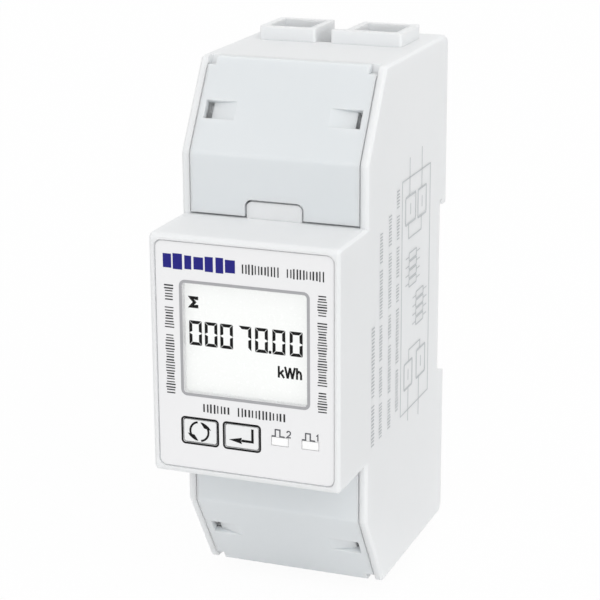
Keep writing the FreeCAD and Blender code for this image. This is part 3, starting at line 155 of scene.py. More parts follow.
@dataclass(frozen=True)
class Moulded(Finish):
    """Thermoplastic from a spark-eroded or polished mould: an even grain, and edges with a small natural radius."""

    colour: str
    drift: str                  # the colour it drifts to over a few centimetres, from the melt's flow
    roughness: float
    grain: float = 0.35         # mm, a few times the real one, which is too fine to show
    depth: float = 0.004        # mm, of the grain
    edge: float = 0.25          # mm, radius that the light sees on a sharp edge
    flow: float = 30.0          # mm, size of the flow's clouds
    glow: float = 0.0           # strength of a painted glow in the surface's own colour
    scatter: float = 0.0        # mm that light travels inside the wall
    uneven: float = 0.04        # how far the roughness goes up and down

    def shader(self, tree: bpy.types.NodeTree, place: Socket) -> Socket:
        """Noise for the flow, one four grains wide for the gloss, grain as bump over the rounded edge.

        Args:
            tree: The material's node tree.
            place: Object coordinates.

        Returns:
            The surface's shader.
        """
        flow, sheen, grain = (
            add(tree, "ShaderNodeTexNoise", {"Vector": place, "Scale": 1 / (size * MM), "Detail": detail}).outputs[0]
            for size, detail in ((self.flow, 3.0), (4 * self.grain, 2.0), (self.grain, 1.0)))
        colour = add(tree, "ShaderNodeMix", {0: flow, 6: linear(self.colour), 7: linear(self.drift)}, data_type="RGBA")
        gloss = add(tree, "ShaderNodeMapRange", {0: sheen, **USUAL_NOISE, 3: self.roughness - self.uneven,
                                                 4: self.roughness + self.uneven})
        soft = add(tree, "ShaderNodeBevel", {"Radius": self.edge * MM}, samples=4)
        bump = add(tree, "ShaderNodeBump", {"Strength": 1.0, "Distance": self.depth * MM, "Height": grain,
                                            "Normal": soft.outputs[0]})
        inputs = {"Base Color": colour.outputs[2], "Roughness": gloss.outputs[0], "Normal": bump.outputs[0],
                  "IOR": PLASTIC_IOR}
        if self.scatter:
            inputs |= {"Subsurface Weight": 1.0, "Subsurface Radius": (1.0, 1.0, 1.0),
                       "Subsurface Scale": self.scatter * MM}
        # painted glow: emission in the surface's own colour, though no lamp lights it
        if self.glow:
            inputs |= {"Emission Color": linear(self.colour), "Emission Strength": self.glow}
        return add(tree, "ShaderNodeBsdfPrincipled", inputs).outputs[0]


@dataclass(frozen=True)
class Ink(Finish):
    """Screen-printed or pad-printed ink: nearly matt, a little thinner in places."""

    colour: str
    thin: str
    roughness: float = 0.6
    gloss: float = 0.25         # share of a polished surface's mirror, 0 for what lies under glass
    cloud: float = 0.8          # mm

    def shader(self, tree: bpy.types.NodeTree, place: Socket) -> Socket:
        """Small clouds between the full and the thin colour.

        Args:
            tree: The material's node tree.
            place: Object coordinates.

        Returns:
            The surface's shader.
        """
        cloud = add(tree, "ShaderNodeTexNoise", {"Vector": place, "Scale": 1 / (self.cloud * MM), "Detail": 2.0})
        colour = add(tree, "ShaderNodeMix", {0: cloud.outputs[0], 6: linear(self.colour), 7: linear(self.thin)},
                     data_type="RGBA")
        return add(tree, "ShaderNodeBsdfPrincipled", {
            "Base Color": colour.outputs[2], "Roughness": self.roughness, "IOR": PLASTIC_IOR,
            "Specular IOR Level": MIRROR_LEVEL * self.gloss}).outputs[0]


@dataclass(frozen=True)
class ClearPlastic(Finish):
    """Clear polycarbonate, polished: it lets the light through unbent and mirrors a little on its outside."""

    tint: str
    roughness: float
    ior: float = 1.58
    coated: float = 0.4         # share of the mirror image that an anti-glare coat leaves
    wave: float = 6.0           # mm, length of the polishing waves
    depth: float = 0.004        # mm, of the waves

    def shader(self, tree: bpy.types.NodeTree, place: Socket) -> Socket:
        """Fresnel mix of a tinted transparent and a glossy shader, with polishing waves as bump.

        Args:
            tree: The material's node tree.
            place: Object coordinates.

        Returns:
            The surface's shader.
        """
        wave = add(tree, "ShaderNodeTexNoise", {"Vector": place, "Scale": 1 / (self.wave * MM), "Detail": 1.0})
        bump = add(tree, "ShaderNodeBump", {"Strength": 1.0, "Distance": self.depth * MM, "Height": wave.outputs[0]})
        mirror = add(tree, "ShaderNodeFresnel", {"IOR": self.ior, "Normal": bump.outputs[0]})
        inner = add(tree, "ShaderNodeNewGeometry").outputs["Backfacing"]
        outer = add(tree, "ShaderNodeMath", {0: 1.0, 1: inner}, operation="SUBTRACT")
        left = add(tree, "ShaderNodeMath", {0: mirror.outputs[0], 1: self.coated}, operation="MULTIPLY")
        share = add(tree, "ShaderNodeMath", {0: left.outputs[0], 1: outer.outputs[0]}, operation="MULTIPLY")
        through = add(tree, "ShaderNodeBsdfTransparent", {"Color": linear(self.tint)})
        gloss = add(tree, "ShaderNodeBsdfAnisotropic", {"Roughness": self.roughness, "Normal": bump.outputs[0]})
        return add(tree, "ShaderNodeMixShader", {0: share.outputs[0], 1: through.outputs[0],
                                                 2: gloss.outputs[0]}).outputs[0]


@dataclass(frozen=True)
class Metal(Finish):
    """Drawn, rolled or plated metal: fine lines one way, and clouds in the plating."""

    colour: str
    cloud: str
    roughness: float
    line: float = 0.12          # mm across a drawing line, coarser than the real ones, which wouldn't show
    stretch: tuple = (1.0, 1.0, 0.06)   # smallest along the lines
    edge: float = 0.12          # mm, radius that the light sees on a sharp edge
    depth: float = 0.003        # mm, of the lines
    patch: float = 2.5          # mm, size of the plating's clouds
    uneven: tuple = (-0.06, 0.08)       # how far the roughness goes down and up

    def shader(self, tree: bpy.types.NodeTree, place: Socket) -> Socket:
        """Noise stretched along the drawing direction as bump and gloss, broad clouds in the colour.

        Args:
            tree: The material's node tree.
            place: Object coordinates.

        Returns:
            The surface's shader.
        """
        along = add(tree, "ShaderNodeMapping", {"Vector": place, "Scale": self.stretch}).outputs[0]
        lines, cloud = (
            add(tree, "ShaderNodeTexNoise", {"Vector": where, "Scale": 1 / (size * MM), "Detail": detail}).outputs[0]
            for where, size, detail in ((along, self.line, 2.0), (place, self.patch, 3.0)))
        colour = add(tree, "ShaderNodeMix", {0: cloud, 6: linear(self.colour), 7: linear(self.cloud)},
                     data_type="RGBA")
        gloss = add(tree, "ShaderNodeMapRange", {0: lines, **USUAL_NOISE, 3: self.roughness + self.uneven[0],
                                                 4: self.roughness + self.uneven[1]})
        soft = add(tree, "ShaderNodeBevel", {"Radius": self.edge * MM}, samples=4)
        bump = add(tree, "ShaderNodeBump", {"Strength": 1.0, "Distance": self.depth * MM, "Height": lines,
                                            "Normal": soft.outputs[0]})
        return add(tree, "ShaderNodeBsdfPrincipled", {
            "Base Color": colour.outputs[2], "Metallic": 1.0, "Roughness": gloss.outputs[0],
            "Normal": bump.outputs[0]}).outputs[0]


@dataclass(frozen=True)
class BoardLaminate(Finish):
    """Glass-fibre board under green solder resist: the copper's tracks show through as lighter lines."""

    resist: str
    track: str
    pitch: float = 1.27         # mm, from one track to the next
    gap: float = 0.28           # mm, between tracks
    run: float = 5.3            # mm, a track's straight run
    copper: float = 0.03        # mm, its thickness under the resist
    weave: float = 0.5          # mm, width of a glass yarn
    gloss: tuple = (0.28, 0.42)         # the roughness over the weave
    ior: float = 1.55

    def shader(self, tree: bpy.types.NodeTree, place: Socket) -> Socket:
        """Bricks laid in the board's plane, whose joints are the gaps between tracks, raised by the copper.

        Args:
            tree: The material's node tree.
            place: Object coordinates.

        Returns:
            The surface's shader.
        """
        flat = add(tree, "ShaderNodeMapping", {"Vector": place, "Rotation": (math.pi / 2, 0.0, 0.0)})
        bricks = add(tree, "ShaderNodeTexBrick", {
            "Vector": flat.outputs[0], "Color1": linear(self.track), "Color2": linear(self.resist),
            "Mortar": linear(self.resist), "Scale": 1.0, "Mortar Size": self.gap * MM, "Mortar Smooth": 0.1,
            "Bias": 0.25, "Brick Width": self.run * MM, "Row Height": self.pitch * MM})
        weave = add(tree, "ShaderNodeTexNoise", {"Vector": place, "Scale": 1 / (self.weave * MM), "Detail": 1.0})
        gloss = add(tree, "ShaderNodeMapRange", {0: weave.outputs[0], 3: self.gloss[0], 4: self.gloss[1]})
        bump = add(tree, "ShaderNodeBump", {"Strength": 0.6, "Distance": self.copper * MM,
                                            "Height": bricks.outputs[1]}, invert=True)
        return add(tree, "ShaderNodeBsdfPrincipled", {
            "Base Color": bricks.outputs[0], "Roughness": gloss.outputs[0], "Normal": bump.outputs[0],
            "IOR": self.ior}).outputs[0]


class Axis(Enum):
    """The direction in which layers follow each other."""

    X = "X"
    Y = "Y"


@dataclass(frozen=True)
class Layered(Finish):
    """Something laid in fine parallel layers, as wound wire or a contact strip's conducting and plain leaves."""

    colour: str
    between: str
    period: float               # mm from one layer to the next
    direction: Axis
    roughness: float
    metallic: float = 0.0
    relief: float = 0.1         # height of a layer's ridge, in periods

    def shader(self, tree: bpy.types.NodeTree, place: Socket) -> Socket:
        """A sine wave across the layers, one period per layer, in colour and in bump.

        Args:
            tree: The material's node tree.
            place: Object coordinates.

        Returns:
            The surface's shader.
        """
        wave = add(tree, "ShaderNodeTexWave", {"Vector": place, "Scale": WAVE_UNIT / (self.period * MM),
                                               "Distortion": 0.15, "Detail": 1.0},
                   bands_direction=self.direction.value)
        colour = add(tree, "ShaderNodeMix", {0: wave.outputs[1], 6: linear(self.between), 7: linear(self.colour)},
                     data_type="RGBA")
        bump = add(tree, "ShaderNodeBump", {"Strength": 1.0, "Distance": self.relief * self.period * MM,
                                            "Height": wave.outputs[1]})
        return add(tree, "ShaderNodeBsdfPrincipled", {
            "Base Color": colour.outputs[2], "Metallic": self.metallic, "Roughness": self.roughness,
            "Normal": bump.outputs[0]}).outputs[0]


# Matt flame-retardant PC/ABS from a spark-eroded mould: even, pale, no shine.
HOUSING = Moulded("pc_abs_spark_eroded_white", "#EDEEEF", "#E8EAEB", 0.52, scatter=1.2)
# The same, from its own mould and a slightly cooler batch.
COVER = Moulded("pc_abs_spark_eroded_cool_white", "#E6E9EB", "#E1E5E7", 0.5, scatter=1.2)
# Satin polycarbonate film, printed and stuck down: whiter and smoother than the housing.
FILM_WHITE = Moulded("polycarbonate_film_satin", "#F1F1F2", "#EEEEEF", 0.42, grain=0.2, depth=0.0015, edge=0.08)
# Moulded ABS key caps from a satin mould: a soft light along their edges.
KEY_WHITE = Moulded("abs_key_satin_white", "#F1F2F2", "#EEEFF0", 0.4, grain=0.2, depth=0.0015, edge=0.2)
# Display glass: a grey ground under a painted glow of the same grey, which together show it evenly white, with none of
# the shade of the window's recess.
DISPLAY_WHITE = Moulded("display_glass_grey_painted_glow", "#AAABAA", "#A8A9A8", 0.25, grain=0.15, depth=0.0005,
                        edge=0.1, glow=1.56)
# Milky polycarbonate light pipe with a faint painted glow: whiter than the film around it.
LIGHT_PIPE = Moulded("polycarbonate_light_pipe_painted_glow", "#FBFBFB", "#F8F8F8", 0.3, depth=0.001, edge=0.15, glow=0.04)
# Polished acrylic that spreads the light: smooth and nearly white.
LIGHT_GUIDE = Moulded("acrylic_light_guide_white", "#F4F4F2", "#EFEFEC", 0.25, depth=0.001)
# Plain moulded polycarbonate inside the housing: matt, a little warmer.
HOLDER = Moulded("pc_holder_matt_white", "#E8E8E6", "#E3E3E1", 0.5)
# Glass-filled PBT: near black, its skin a little rough from the fibres.
BLACK_PLASTIC = Moulded("glass_filled_pbt_black", "#26272A", "#2C2D30", 0.5, grain=0.2, depth=0.006)
# Glass-filled polyamide: dark grey and coarser, as the fibres reach the surface.
CLIP_PLASTIC = Moulded("glass_filled_polyamide_anthracite", "#3A3C3F", "#414346", 0.55, grain=0.5, depth=0.01,
                       edge=0.3)
# Unfilled polyamide of terminal blocks: black with a soft shine.
SIGNAL_PLASTIC = Moulded("polyamide_terminal_black", "#242528", "#2A2B2E", 0.45, grain=0.25, depth=0.005)
# Transfer-moulded epoxy: dull, fine-grained black.
CHIP_EPOXY = Moulded("chip_epoxy_matt_black", "#232326", "#2B2B2E", 0.6, grain=0.12, depth=0.006, edge=0.08)
# Pressed and sintered ferrite: dark, stony grey.
FERRITE = Moulded("sintered_ferrite_grey", "#35363A", "#44464A", 0.65, grain=0.18, depth=0.012, flow=2.0)
# Moulded PBT box of a film capacitor: warm yellow, satin.
FILM_BOX = Moulded("pbt_capacitor_box_yellow", "#C9A63C", "#C19D34", 0.4, grain=0.3)
# Dipped epoxy: blue and wavy, with full round edges.
VARISTOR_COAT = Moulded("dipped_epoxy_blue", "#2B61A8", "#255899", 0.3, grain=0.6, depth=0.02, edge=0.5)
# Shrunk PET sleeve: dark and smooth, with slow waves.
CAN_SLEEVE = Moulded("pet_sleeve_dark", "#3D3E45", "#34353B", 0.3, grain=0.8, depth=0.004)
# Cement lacquer over the winding: grey green and dull.
RESISTOR_COAT = Moulded("cement_lacquer_grey_green", "#7C8A86", "#73817D", 0.55, grain=0.2, depth=0.01)
# Coloured polyamide of a push switch: an even dark red.
PLUNGER_RED = Moulded("polyamide_plunger_red", "#9C3128", "#942B23", 0.45, grain=0.2)
# Cast, tinted epoxy lens: red, polished, bright at its edge.
LAMP_RED = Moulded("tinted_epoxy_lens_red", "#D6503F", "#C94736", 0.15, grain=0.3, depth=0.0005, edge=0.2)
# Polished polycarbonate with a coat against glare: only a faint mirror image shows it.
WINDOW = ClearPlastic("polycarbonate_window_clear", "#FDFDFD", 0.04)
# Bare, rolled copper bar, a little oxidised: warm, with dull clouds.
COPPER = Metal("rolled_copper_bare", "#D99A78", "#C58463", 0.32)
# Rolled resistance alloy: a greyer, duller copper.
MANGANIN = Metal("rolled_manganin_strip", "#B9A08C", "#A98F7B", 0.35)
# Zinc-plated steel, clear passivated: grey with faint clouds.
ZINC_STEEL = Metal("zinc_plated_steel", "#C6C8CA", "#B4B8BC", 0.34, stretch=(1.0, 0.2, 1.0))
# Stamped brass: pale yellow, with the lines of its rolling.
BRASS = Metal("stamped_brass", "#CDB57C", "#BFA56B", 0.35)
# Hot-tinned copper wire: silvery and soft.
TINNED = Metal("tinned_copper_wire", "#D6D4CC", "#C8C6BE", 0.3)
# Deep-drawn nickel silver: bright, with lines along the can.
CRYSTAL_CAN = Metal("drawn_nickel_silver_can", "#CFCFCA", "#C3C3BD", 0.22, stretch=(0.08, 1.0, 1.0))
# Enamelled wire under clear yellow tape: each turn a shiny ridge.
WINDING = Layered("enamelled_copper_winding_taped", "#D9B23E", "#B98F24", 0.35, Axis.Y, 0.35)
# Silicone with conducting leaves: fine red and black bars.
ELASTOMER = Layered("layered_silicone_contact_strip", "#9A5A55", "#2A2527", 0.6, Axis.X, 0.7)
# Glass fibre under green resist: the tracks are lighter lines.
BOARD = BoardLaminate("glass_fibre_board_green_resist", "#1C5B36", "#2E7A4A")
# Screen-printed ink on the film: flat colours with a dull shine.
INK_BLACK = Ink("screen_ink_black", "#0C0C0D", "#161617")
INK_NAVY = Ink("screen_ink_navy", "#24237A", "#2E2D86")
INK_GREY = Ink("screen_ink_grey", "#A6A6A9", "#AEAEB1")
INK_CAPTION = Ink("screen_ink_soft_black", "#2A2B2D", "#38393B")
INK_SIGN = Ink("screen_ink_mid_grey", "#5A5B5F", "#66676B")
# Laser marking on white plastic: barely darker than its ground.
LASER_GREY = Ink("laser_marking_pale_grey", "#BFC2C5", "#CACDCF", 0.55)
# Switched liquid crystal between its polarisers: deep black with no shine of its own.
SEGMENT_BLACK = Ink("liquid_crystal_segment_dark", "#050505", "#0A0A0B", 0.3, gloss=0.0)


@dataclass
class Patch:
    """Points in millimetres and groups of faces with the same number of corners."""

    points: np.ndarray
    faces: list[np.ndarray]

    def outward(self) -> "Patch":
        """Turns the faces round if the volume they enclose comes out negative.

        Returns:
            The same patch, with its faces pointing outwards.
        """
        volume = 0.0
        middle = self.points.mean(axis=0)
        for group in self.faces:
            corner = self.points[group] - middle
            for k in range(1, group.shape[1] - 1):
                volume += np.einsum("ij,ij->", corner[:, 0], np.cross(corner[:, k], corner[:, k + 1]))
        if volume < 0:
            self.faces = [group[:, ::-1] for group in self.faces]
        return self


def merged(patches: Iterable[Patch]) -> Patch:
    """Puts several patches into one.

    Args:
        patches: The patches.

    Returns:
        One patch with all their points and faces.
    """
    points, faces, start = [], [], 0
    for patch in patches:
        points.append(patch.points)
        faces += [group + start for group in patch.faces]
        start += len(patch.points)
    return Patch(np.vstack(points), faces)


def lattice(rows: int, columns: int, wrap_rows: bool, wrap_columns: bool) -> np.ndarray:
    """The quads of a grid of points that is stored row by row.

    Args:
        rows: Number of rows of points.
        columns: Points in a row.
        wrap_rows: Whether the last row joins the first.
        wrap_columns: Whether each row is a ring.

    Returns:
        Four point numbers for each quad.
    """
    row = np.arange(rows if wrap_rows else rows - 1)[:, None]
    column = np.arange(columns if wrap_columns else columns - 1)[None, :]
    next_row, next_column = (row + 1) % rows, (column + 1) % columns
    corners = (row * columns + column, next_row * columns + column,
               next_row * columns + next_column, row * columns + next_column)
    return np.stack(np.broadcast_arrays(*corners), axis=-1).reshape(-1, 4)


@dataclass(frozen=True)
class Plane:
    """A flat face of the object that carries print: its origin, its two directions and its outward normal."""

    origin: tuple
    across: tuple
    up: tuple
    out: tuple

    def place(self, flat: np.ndarray, lift: float) -> np.ndarray:
        """Point = origin + u * across + v * up + lift * out, for each (u, v) of the array.

        Args:
            flat: Array of (u, v), in millimetres.
            lift: Distance from the face, outwards.

        Returns:
            Array of (x, y, z), in millimetres.
        """
        axes = np.array([self.across, self.up], float)
        return np.array(self.origin, float) + flat @ axes + lift * np.array(self.out, float)


FACE = Plane((0, FACE_Y, 0), (1, 0, 0), (0, 0, 1), (0, -1, 0))
RIGHT_SIDE = Plane((SIDE_X, 0, 0), (0, 1, 0), (0, 0, 1), (1, 0, 0))


def ribbon(plane: Plane, path: Iterable, width: float, closed: bool = False) -> Patch:
    """A printed line: each point of the path goes half the width to both sides along its mitre.

    The mitre of a point is (a + b) / (1 + a . b), where a and b are the unit normals of the runs before and after
    it, so that the line keeps its width round a corner. The section is a rectangle from the film's foot to its face.

    Args:
        plane: The face that carries it.
        path: (u, v) points, in millimetres.
        width: The line's width.
        closed: Whether the last point joins the first.

    Returns:
        The line as a closed solid.
    """
    path = np.asarray(path, float)
    count = len(path)
    step = np.roll(path, -1, axis=0) - path
    after = step if closed else np.vstack([step[:-1], step[-2:-1]])
    before = np.roll(step, 1, axis=0) if closed else np.vstack([step[:1], step[:-1]])
    a, b = (np.stack([-run[:, 1], run[:, 0]], axis=1) / np.linalg.norm(run, axis=1, keepdims=True)
            for run in (before, after))
    mitre = (a + b) / np.maximum(1 + np.sum(a * b, axis=1, keepdims=True), 0.3)
    left, right = path + mitre * width / 2, path - mitre * width / 2
    section = [plane.place(left, -SUNK), plane.place(right, -SUNK), plane.place(right, FILM), plane.place(left, FILM)]
    points = np.stack(section, axis=1).reshape(-1, 3)
    faces = [lattice(count, 4, closed, True)]
    if not closed:
        faces.append(np.array([[0, 1, 2, 3], np.array([3, 2, 1, 0]) + 4 * (count - 1)]))
    return Patch(points, faces).outward()


def plate(plane: Plane, outline: Iterable) -> Patch:
    """A printed field: its outline at the film's foot and face, joined by a wall.

    Args:
        plane: The face that carries it.
        outline: (u, v) corners, in millimetres.

    Returns:
        The field as a closed solid.
    """
    outline = np.asarray(outline, float)
    count = len(outline)
    points = np.stack([plane.place(outline, -SUNK), plane.place(outline, FILM)], axis=1).reshape(-1, 3)
    ends = np.stack([np.arange(count) * 2, np.arange(count)[::-1] * 2 + 1])
    return Patch(points, [lattice(count, 2, True, False), ends]).outward()


def blocks(plane: Plane, centres: np.ndarray, sizes: np.ndarray) -> Patch:
    """A row of small printed rectangles: centre plus or minus half the size, for all of them at once.

    Args:
        plane: The face that carries them.
        centres: (u, v) of each.
        sizes: Width and height of each.

    Returns:
        All of them in one patch.
    """
    count = len(centres)
    turn = np.array([[-1, -1], [1, -1], [1, 1], [-1, 1]]) / 2
    flat = (centres[:, None, :] + turn[None] * sizes[:, None, :]).reshape(-1, 2)
    foot, face = (plane.place(flat, lift).reshape(count, 4, 3) for lift in (-SUNK, FILM))
    points = np.concatenate([foot, face], axis=1).reshape(-1, 3)
    cube = np.array([[3, 2, 1, 0], [4, 5, 6, 7], [0, 1, 5, 4], [1, 2, 6, 5], [2, 3, 7, 6], [3, 0, 4, 7]])
    faces = (cube[None] + 8 * np.arange(count)[:, None, None]).reshape(-1, 4)
    return Patch(points, [faces]).outward()


def rounded(centre: tuple, size: tuple, radius: float, steps: int = 7) -> np.ndarray:
    """A rectangle with round corners: inset corner + radius * (cos, sin), a quarter turn at each corner.

    Args:
        centre: (u, v) of the middle.
        size: Width and height.
        radius: Corner radius.
        steps: Points of a quarter turn.

    Returns:
        The closed outline, without repeating its first point.
    """
    quarter = np.arange(4)[:, None]
    angle = (quarter + np.linspace(0, 1, steps)[None]) * TURN / 4
    middle = (quarter + 0.5) * TURN / 4
    inset = np.array(size) / 2 - radius
    u = centre[0] + np.sign(np.cos(middle)) * inset[0] + radius * np.cos(angle)
    v = centre[1] + np.sign(np.sin(middle)) * inset[1] + radius * np.sin(angle)
    return np.stack([u, v], axis=-1).reshape(-1, 2)


def arc(centre: tuple, radius: float, start: float, end: float, steps: int = 24) -> np.ndarray:
    """Part of a circle: centre + radius * (cos, sin) of evenly spaced angles, in degrees."""
    angle = np.radians(np.linspace(start, end, steps))
    return np.array(centre) + radius * np.stack([np.cos(angle), np.sin(angle)], axis=1)


class Sign(Enum):
    """Signs drawn with strokes in a box of width 1 and height 1."""

    ONE = (((0.1, 0.76), (0.55, 1.0), (0.55, 0.0)),)
    TWO = (((0.02, 0.72), (0.1, 0.9), (0.35, 1.0), (0.68, 0.98), (0.92, 0.84), (0.93, 0.64), (0.78, 0.44),
            (0.0, 0.0), (1.0, 0.0)),)
    SUM = (((0.95, 0.78), (0.95, 1.0), (0.08, 1.0), (0.62, 0.5), (0.08, 0.0), (0.95, 0.0), (0.95, 0.22)),)
    KILO = (((0.0, 0.0), (0.0, 1.0)), ((0.9, 0.68), (0.04, 0.3)), ((0.34, 0.46), (1.0, 0.0)))
    WATT = (((0.0, 1.0), (0.26, 0.0)), ((0.26, 0.0), (0.5, 0.95)), ((0.5, 0.95), (0.74, 0.0)),
            ((0.74, 0.0), (1.0, 1.0)))
    HOUR = (((0.0, 0.0), (0.0, 1.0)), ((0.0, 0.42), (0.15, 0.6), (0.45, 0.7), (0.8, 0.62), (0.95, 0.42), (0.95, 0.0)))

    def drawn(self, plane: Plane, low: tuple, high: tuple, width: float) -> Patch:
        """Scales the strokes from the unit box to the box between low and high.

        Args:
            plane: The face that carries the sign.
            low: (u, v) of the box's lower left corner.
            high: (u, v) of its upper right corner.
            width: The stroke's width.

        Returns:
            The sign.
        """
        low, size = np.array(low, float) + width / 2, np.array(high, float) - np.array(low, float) - width
        return merged(ribbon(plane, low + np.array(stroke) * size, width) for stroke in self.value)


def new_piece(name: str, patch: Patch, finish: Finish, body: str) -> bpy.types.Object:
    """Makes an object from a patch, in place, and lets it ride.

    Args:
        name: The piece's name.
        patch: Its surface, in millimetres.
        finish: Its finish.
        body: The body that carries it.

    Returns:
        The object.
    """
    mesh = bpy.data.meshes.new(name)
    faces = [row for group in patch.faces for row in group.tolist()]
    mesh.from_pydata((patch.points * MM).tolist(), [], faces)
    mesh.validate()
    mesh.materials.append(finish.material())
    mesh.update()
    piece = bpy.data.objects.new(name, mesh)
    bpy.context.scene.collection.objects.link(piece)
    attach(piece, body)
    LOG.info("piece %s: %d faces, %s, rides on %s", name, len(faces), finish.name, body)
    return piece


def dress(finishes: dict[str, Finish]) -> None:
    """Gives CAD nodes their finishes.

    Args:
        finishes: Finish by node name.
    """
    for name, finish in finishes.items():
        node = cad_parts[name]
        node.data.materials.clear()
        node.data.materials.append(finish.material())
        LOG.info("node %s: %s", name, finish.name)


@dataclass
class Housing:
    """The shell, the rear base, and the pale laser marking on the right side."""

    diagram: tuple = ((-24.4, -7.0), (-19.7, 26.6))         # y and z of the wiring diagram's frame
    terminals: tuple = (((-19.25, 20.4), (6.2, 5.3)), ((-12.1, 20.25), (5.2, 5.5)),
                        ((-19.8, -12.5), (5.0, 5.2)), ((-11.85, -12.15), (5.5, 5.7)))
    leads: tuple = (((-19.9, 23.1), (-19.9, 30.4)), ((-12.4, 23.0), (-12.4, 31.0)),
                    ((-19.7, -15.1), (-19.7, -22.0)), ((-13.0, -15.0), (-13.0, -23.0)),
                    ((-20.4, 17.7), (-20.4, 14.8), (-12.5, 14.8), (-12.5, 17.5)),
                    ((-19.5, -9.9), (-19.5, -7.6), (-12.4, -7.6), (-12.4, -9.3)))
    groups: tuple = ((-17.6, 9.3), (-13.0, 0.45))           # middles of the two groups of contacts
    captions: tuple = ((-26.8, -17.7, 25.8, (7, 9, 3, 5, 4, 3)), (-31.4, -19.6, 22.1, (5, 8, 4, 9, 5)),
                       (-36.5, -19.7, 20.0, (6, 5, 6, 8, 5)), (-40.9, -19.9, 3.4, (6, 10)))
    text_height: float = 1.75
    line: float = 0.24
    heavy_line: float = 0.408       # round the terminals
    fine_line: float = 0.192        # the contacts' pins
    terminal_round: float = 0.3     # corner radius
    pole: float = 1.1               # half length of the stroke in a terminal
    contact: tuple = (4.6, 1.45)
    contact_round: float = 0.2
    contact_rows: tuple = (-3.5, -1.75, 0.0, 1.75)
    pins: tuple = (2.4, 4.4)        # where a contact's pin starts and ends, to both sides of its middle

    def build(self) -> None:
        """Dresses the shell and the base and marks the right side."""
        dress({"housing_shell": HOUSING, "rear_base": HOUSING})
        new_piece("wiring_diagram_marking", merged([self.drawing(), self.text_rows()]), LASER_GREY, "case")

    def drawing(self) -> Patch:
        """The frame, its four terminals, two groups of four contacts and the leads between them.

        Returns:
            The lines of the diagram.
        """
        (left, right), (low, high) = self.diagram
        parts = [ribbon(RIGHT_SIDE, [(left, low), (right, low), (right, high), (left, high)], self.line, True)]
        for (y, z), size in self.terminals:
            parts.append(ribbon(RIGHT_SIDE, rounded((y, z), size, self.terminal_round, 3), self.heavy_line, True))
            parts.append(ribbon(RIGHT_SIDE, [(y, z - self.pole), (y, z + self.pole)], self.line))
        parts += [ribbon(RIGHT_SIDE, path, self.line) for path in self.leads]
        inner, outer = self.pins
        for y, middle in self.groups:
            for z in (middle + offset for offset in self.contact_rows):
                outline = rounded((y, z), self.contact, self.contact_round, 3)
                parts.append(ribbon(RIGHT_SIDE, outline, self.line, True))
                parts += [ribbon(RIGHT_SIDE, [(y + side * inner, z), (y + side * outer, z)], self.fine_line)
                          for side in (-1, 1)]
        return merged(parts)

    def text_rows(self) -> Patch:
        """Upright rows of short bars where the object has small print."""
        return merged(caption(RIGHT_SIDE, (y, low), (y, high), self.text_height, words)
                      for y, low, high, words in self.captions)


def caption(plane: Plane, start: tuple, end: tuple, height: float, words: tuple, heavy: float = 0.42) -> Patch:
    """Small print as rows of plain bars, a pair for a letter and one empty place between words.

    Place k stands at start + (k + 1/2) * pitch, where the pitch is the row's length over its number of places. Its
    bars are heavy * pitch * (1 + a sin b k) wide together, with a and b the width's wave, and stand LETTER_SIDE of
    the pitch to both sides, or as one where heavy is over a half. They are height * (1 - c + c sin d k) tall, with c
    and d the height's wave.

    Args:
        plane: The face that carries it.
        start: (u, v) of the row's beginning, on its foot line's middle.
        end: (u, v) of its end.
        height: The row's height.
        words: Letters in each word.
        heavy: A bar's mean width, as a share of the pitch.

    Returns:
        The row.
    """
    start, end = np.array(start, float), np.array(end, float)
    count = sum(words) + len(words) - 1
    place = np.arange(count)
    gaps = np.cumsum(np.array(words) + 1)[:-1] - 1
    place = place[~np.isin(place, gaps)]
    centres = start + ((place + 0.5) / count)[:, None] * (end - start)
    pitch = float(np.linalg.norm(end - start)) / count
    along = heavy * pitch * (1 + WIDTH_WAVE[0] * np.sin(WIDTH_WAVE[1] * place))
    across = height * (1 - HEIGHT_WAVE[0] + HEIGHT_WAVE[0] * np.sin(HEIGHT_WAVE[1] * place))
    if heavy <= 0.5:
        aside = LETTER_SIDE * (end - start) / count
        centres = np.vstack([centres - aside, centres + aside])
        along, across = np.tile(along / 2, 2), np.tile(across, 2)
    upright = abs(end[1] - start[1]) > abs(end[0] - start[0])
    return blocks(plane, centres, np.stack([across, along] if upright else [along, across], axis=1))


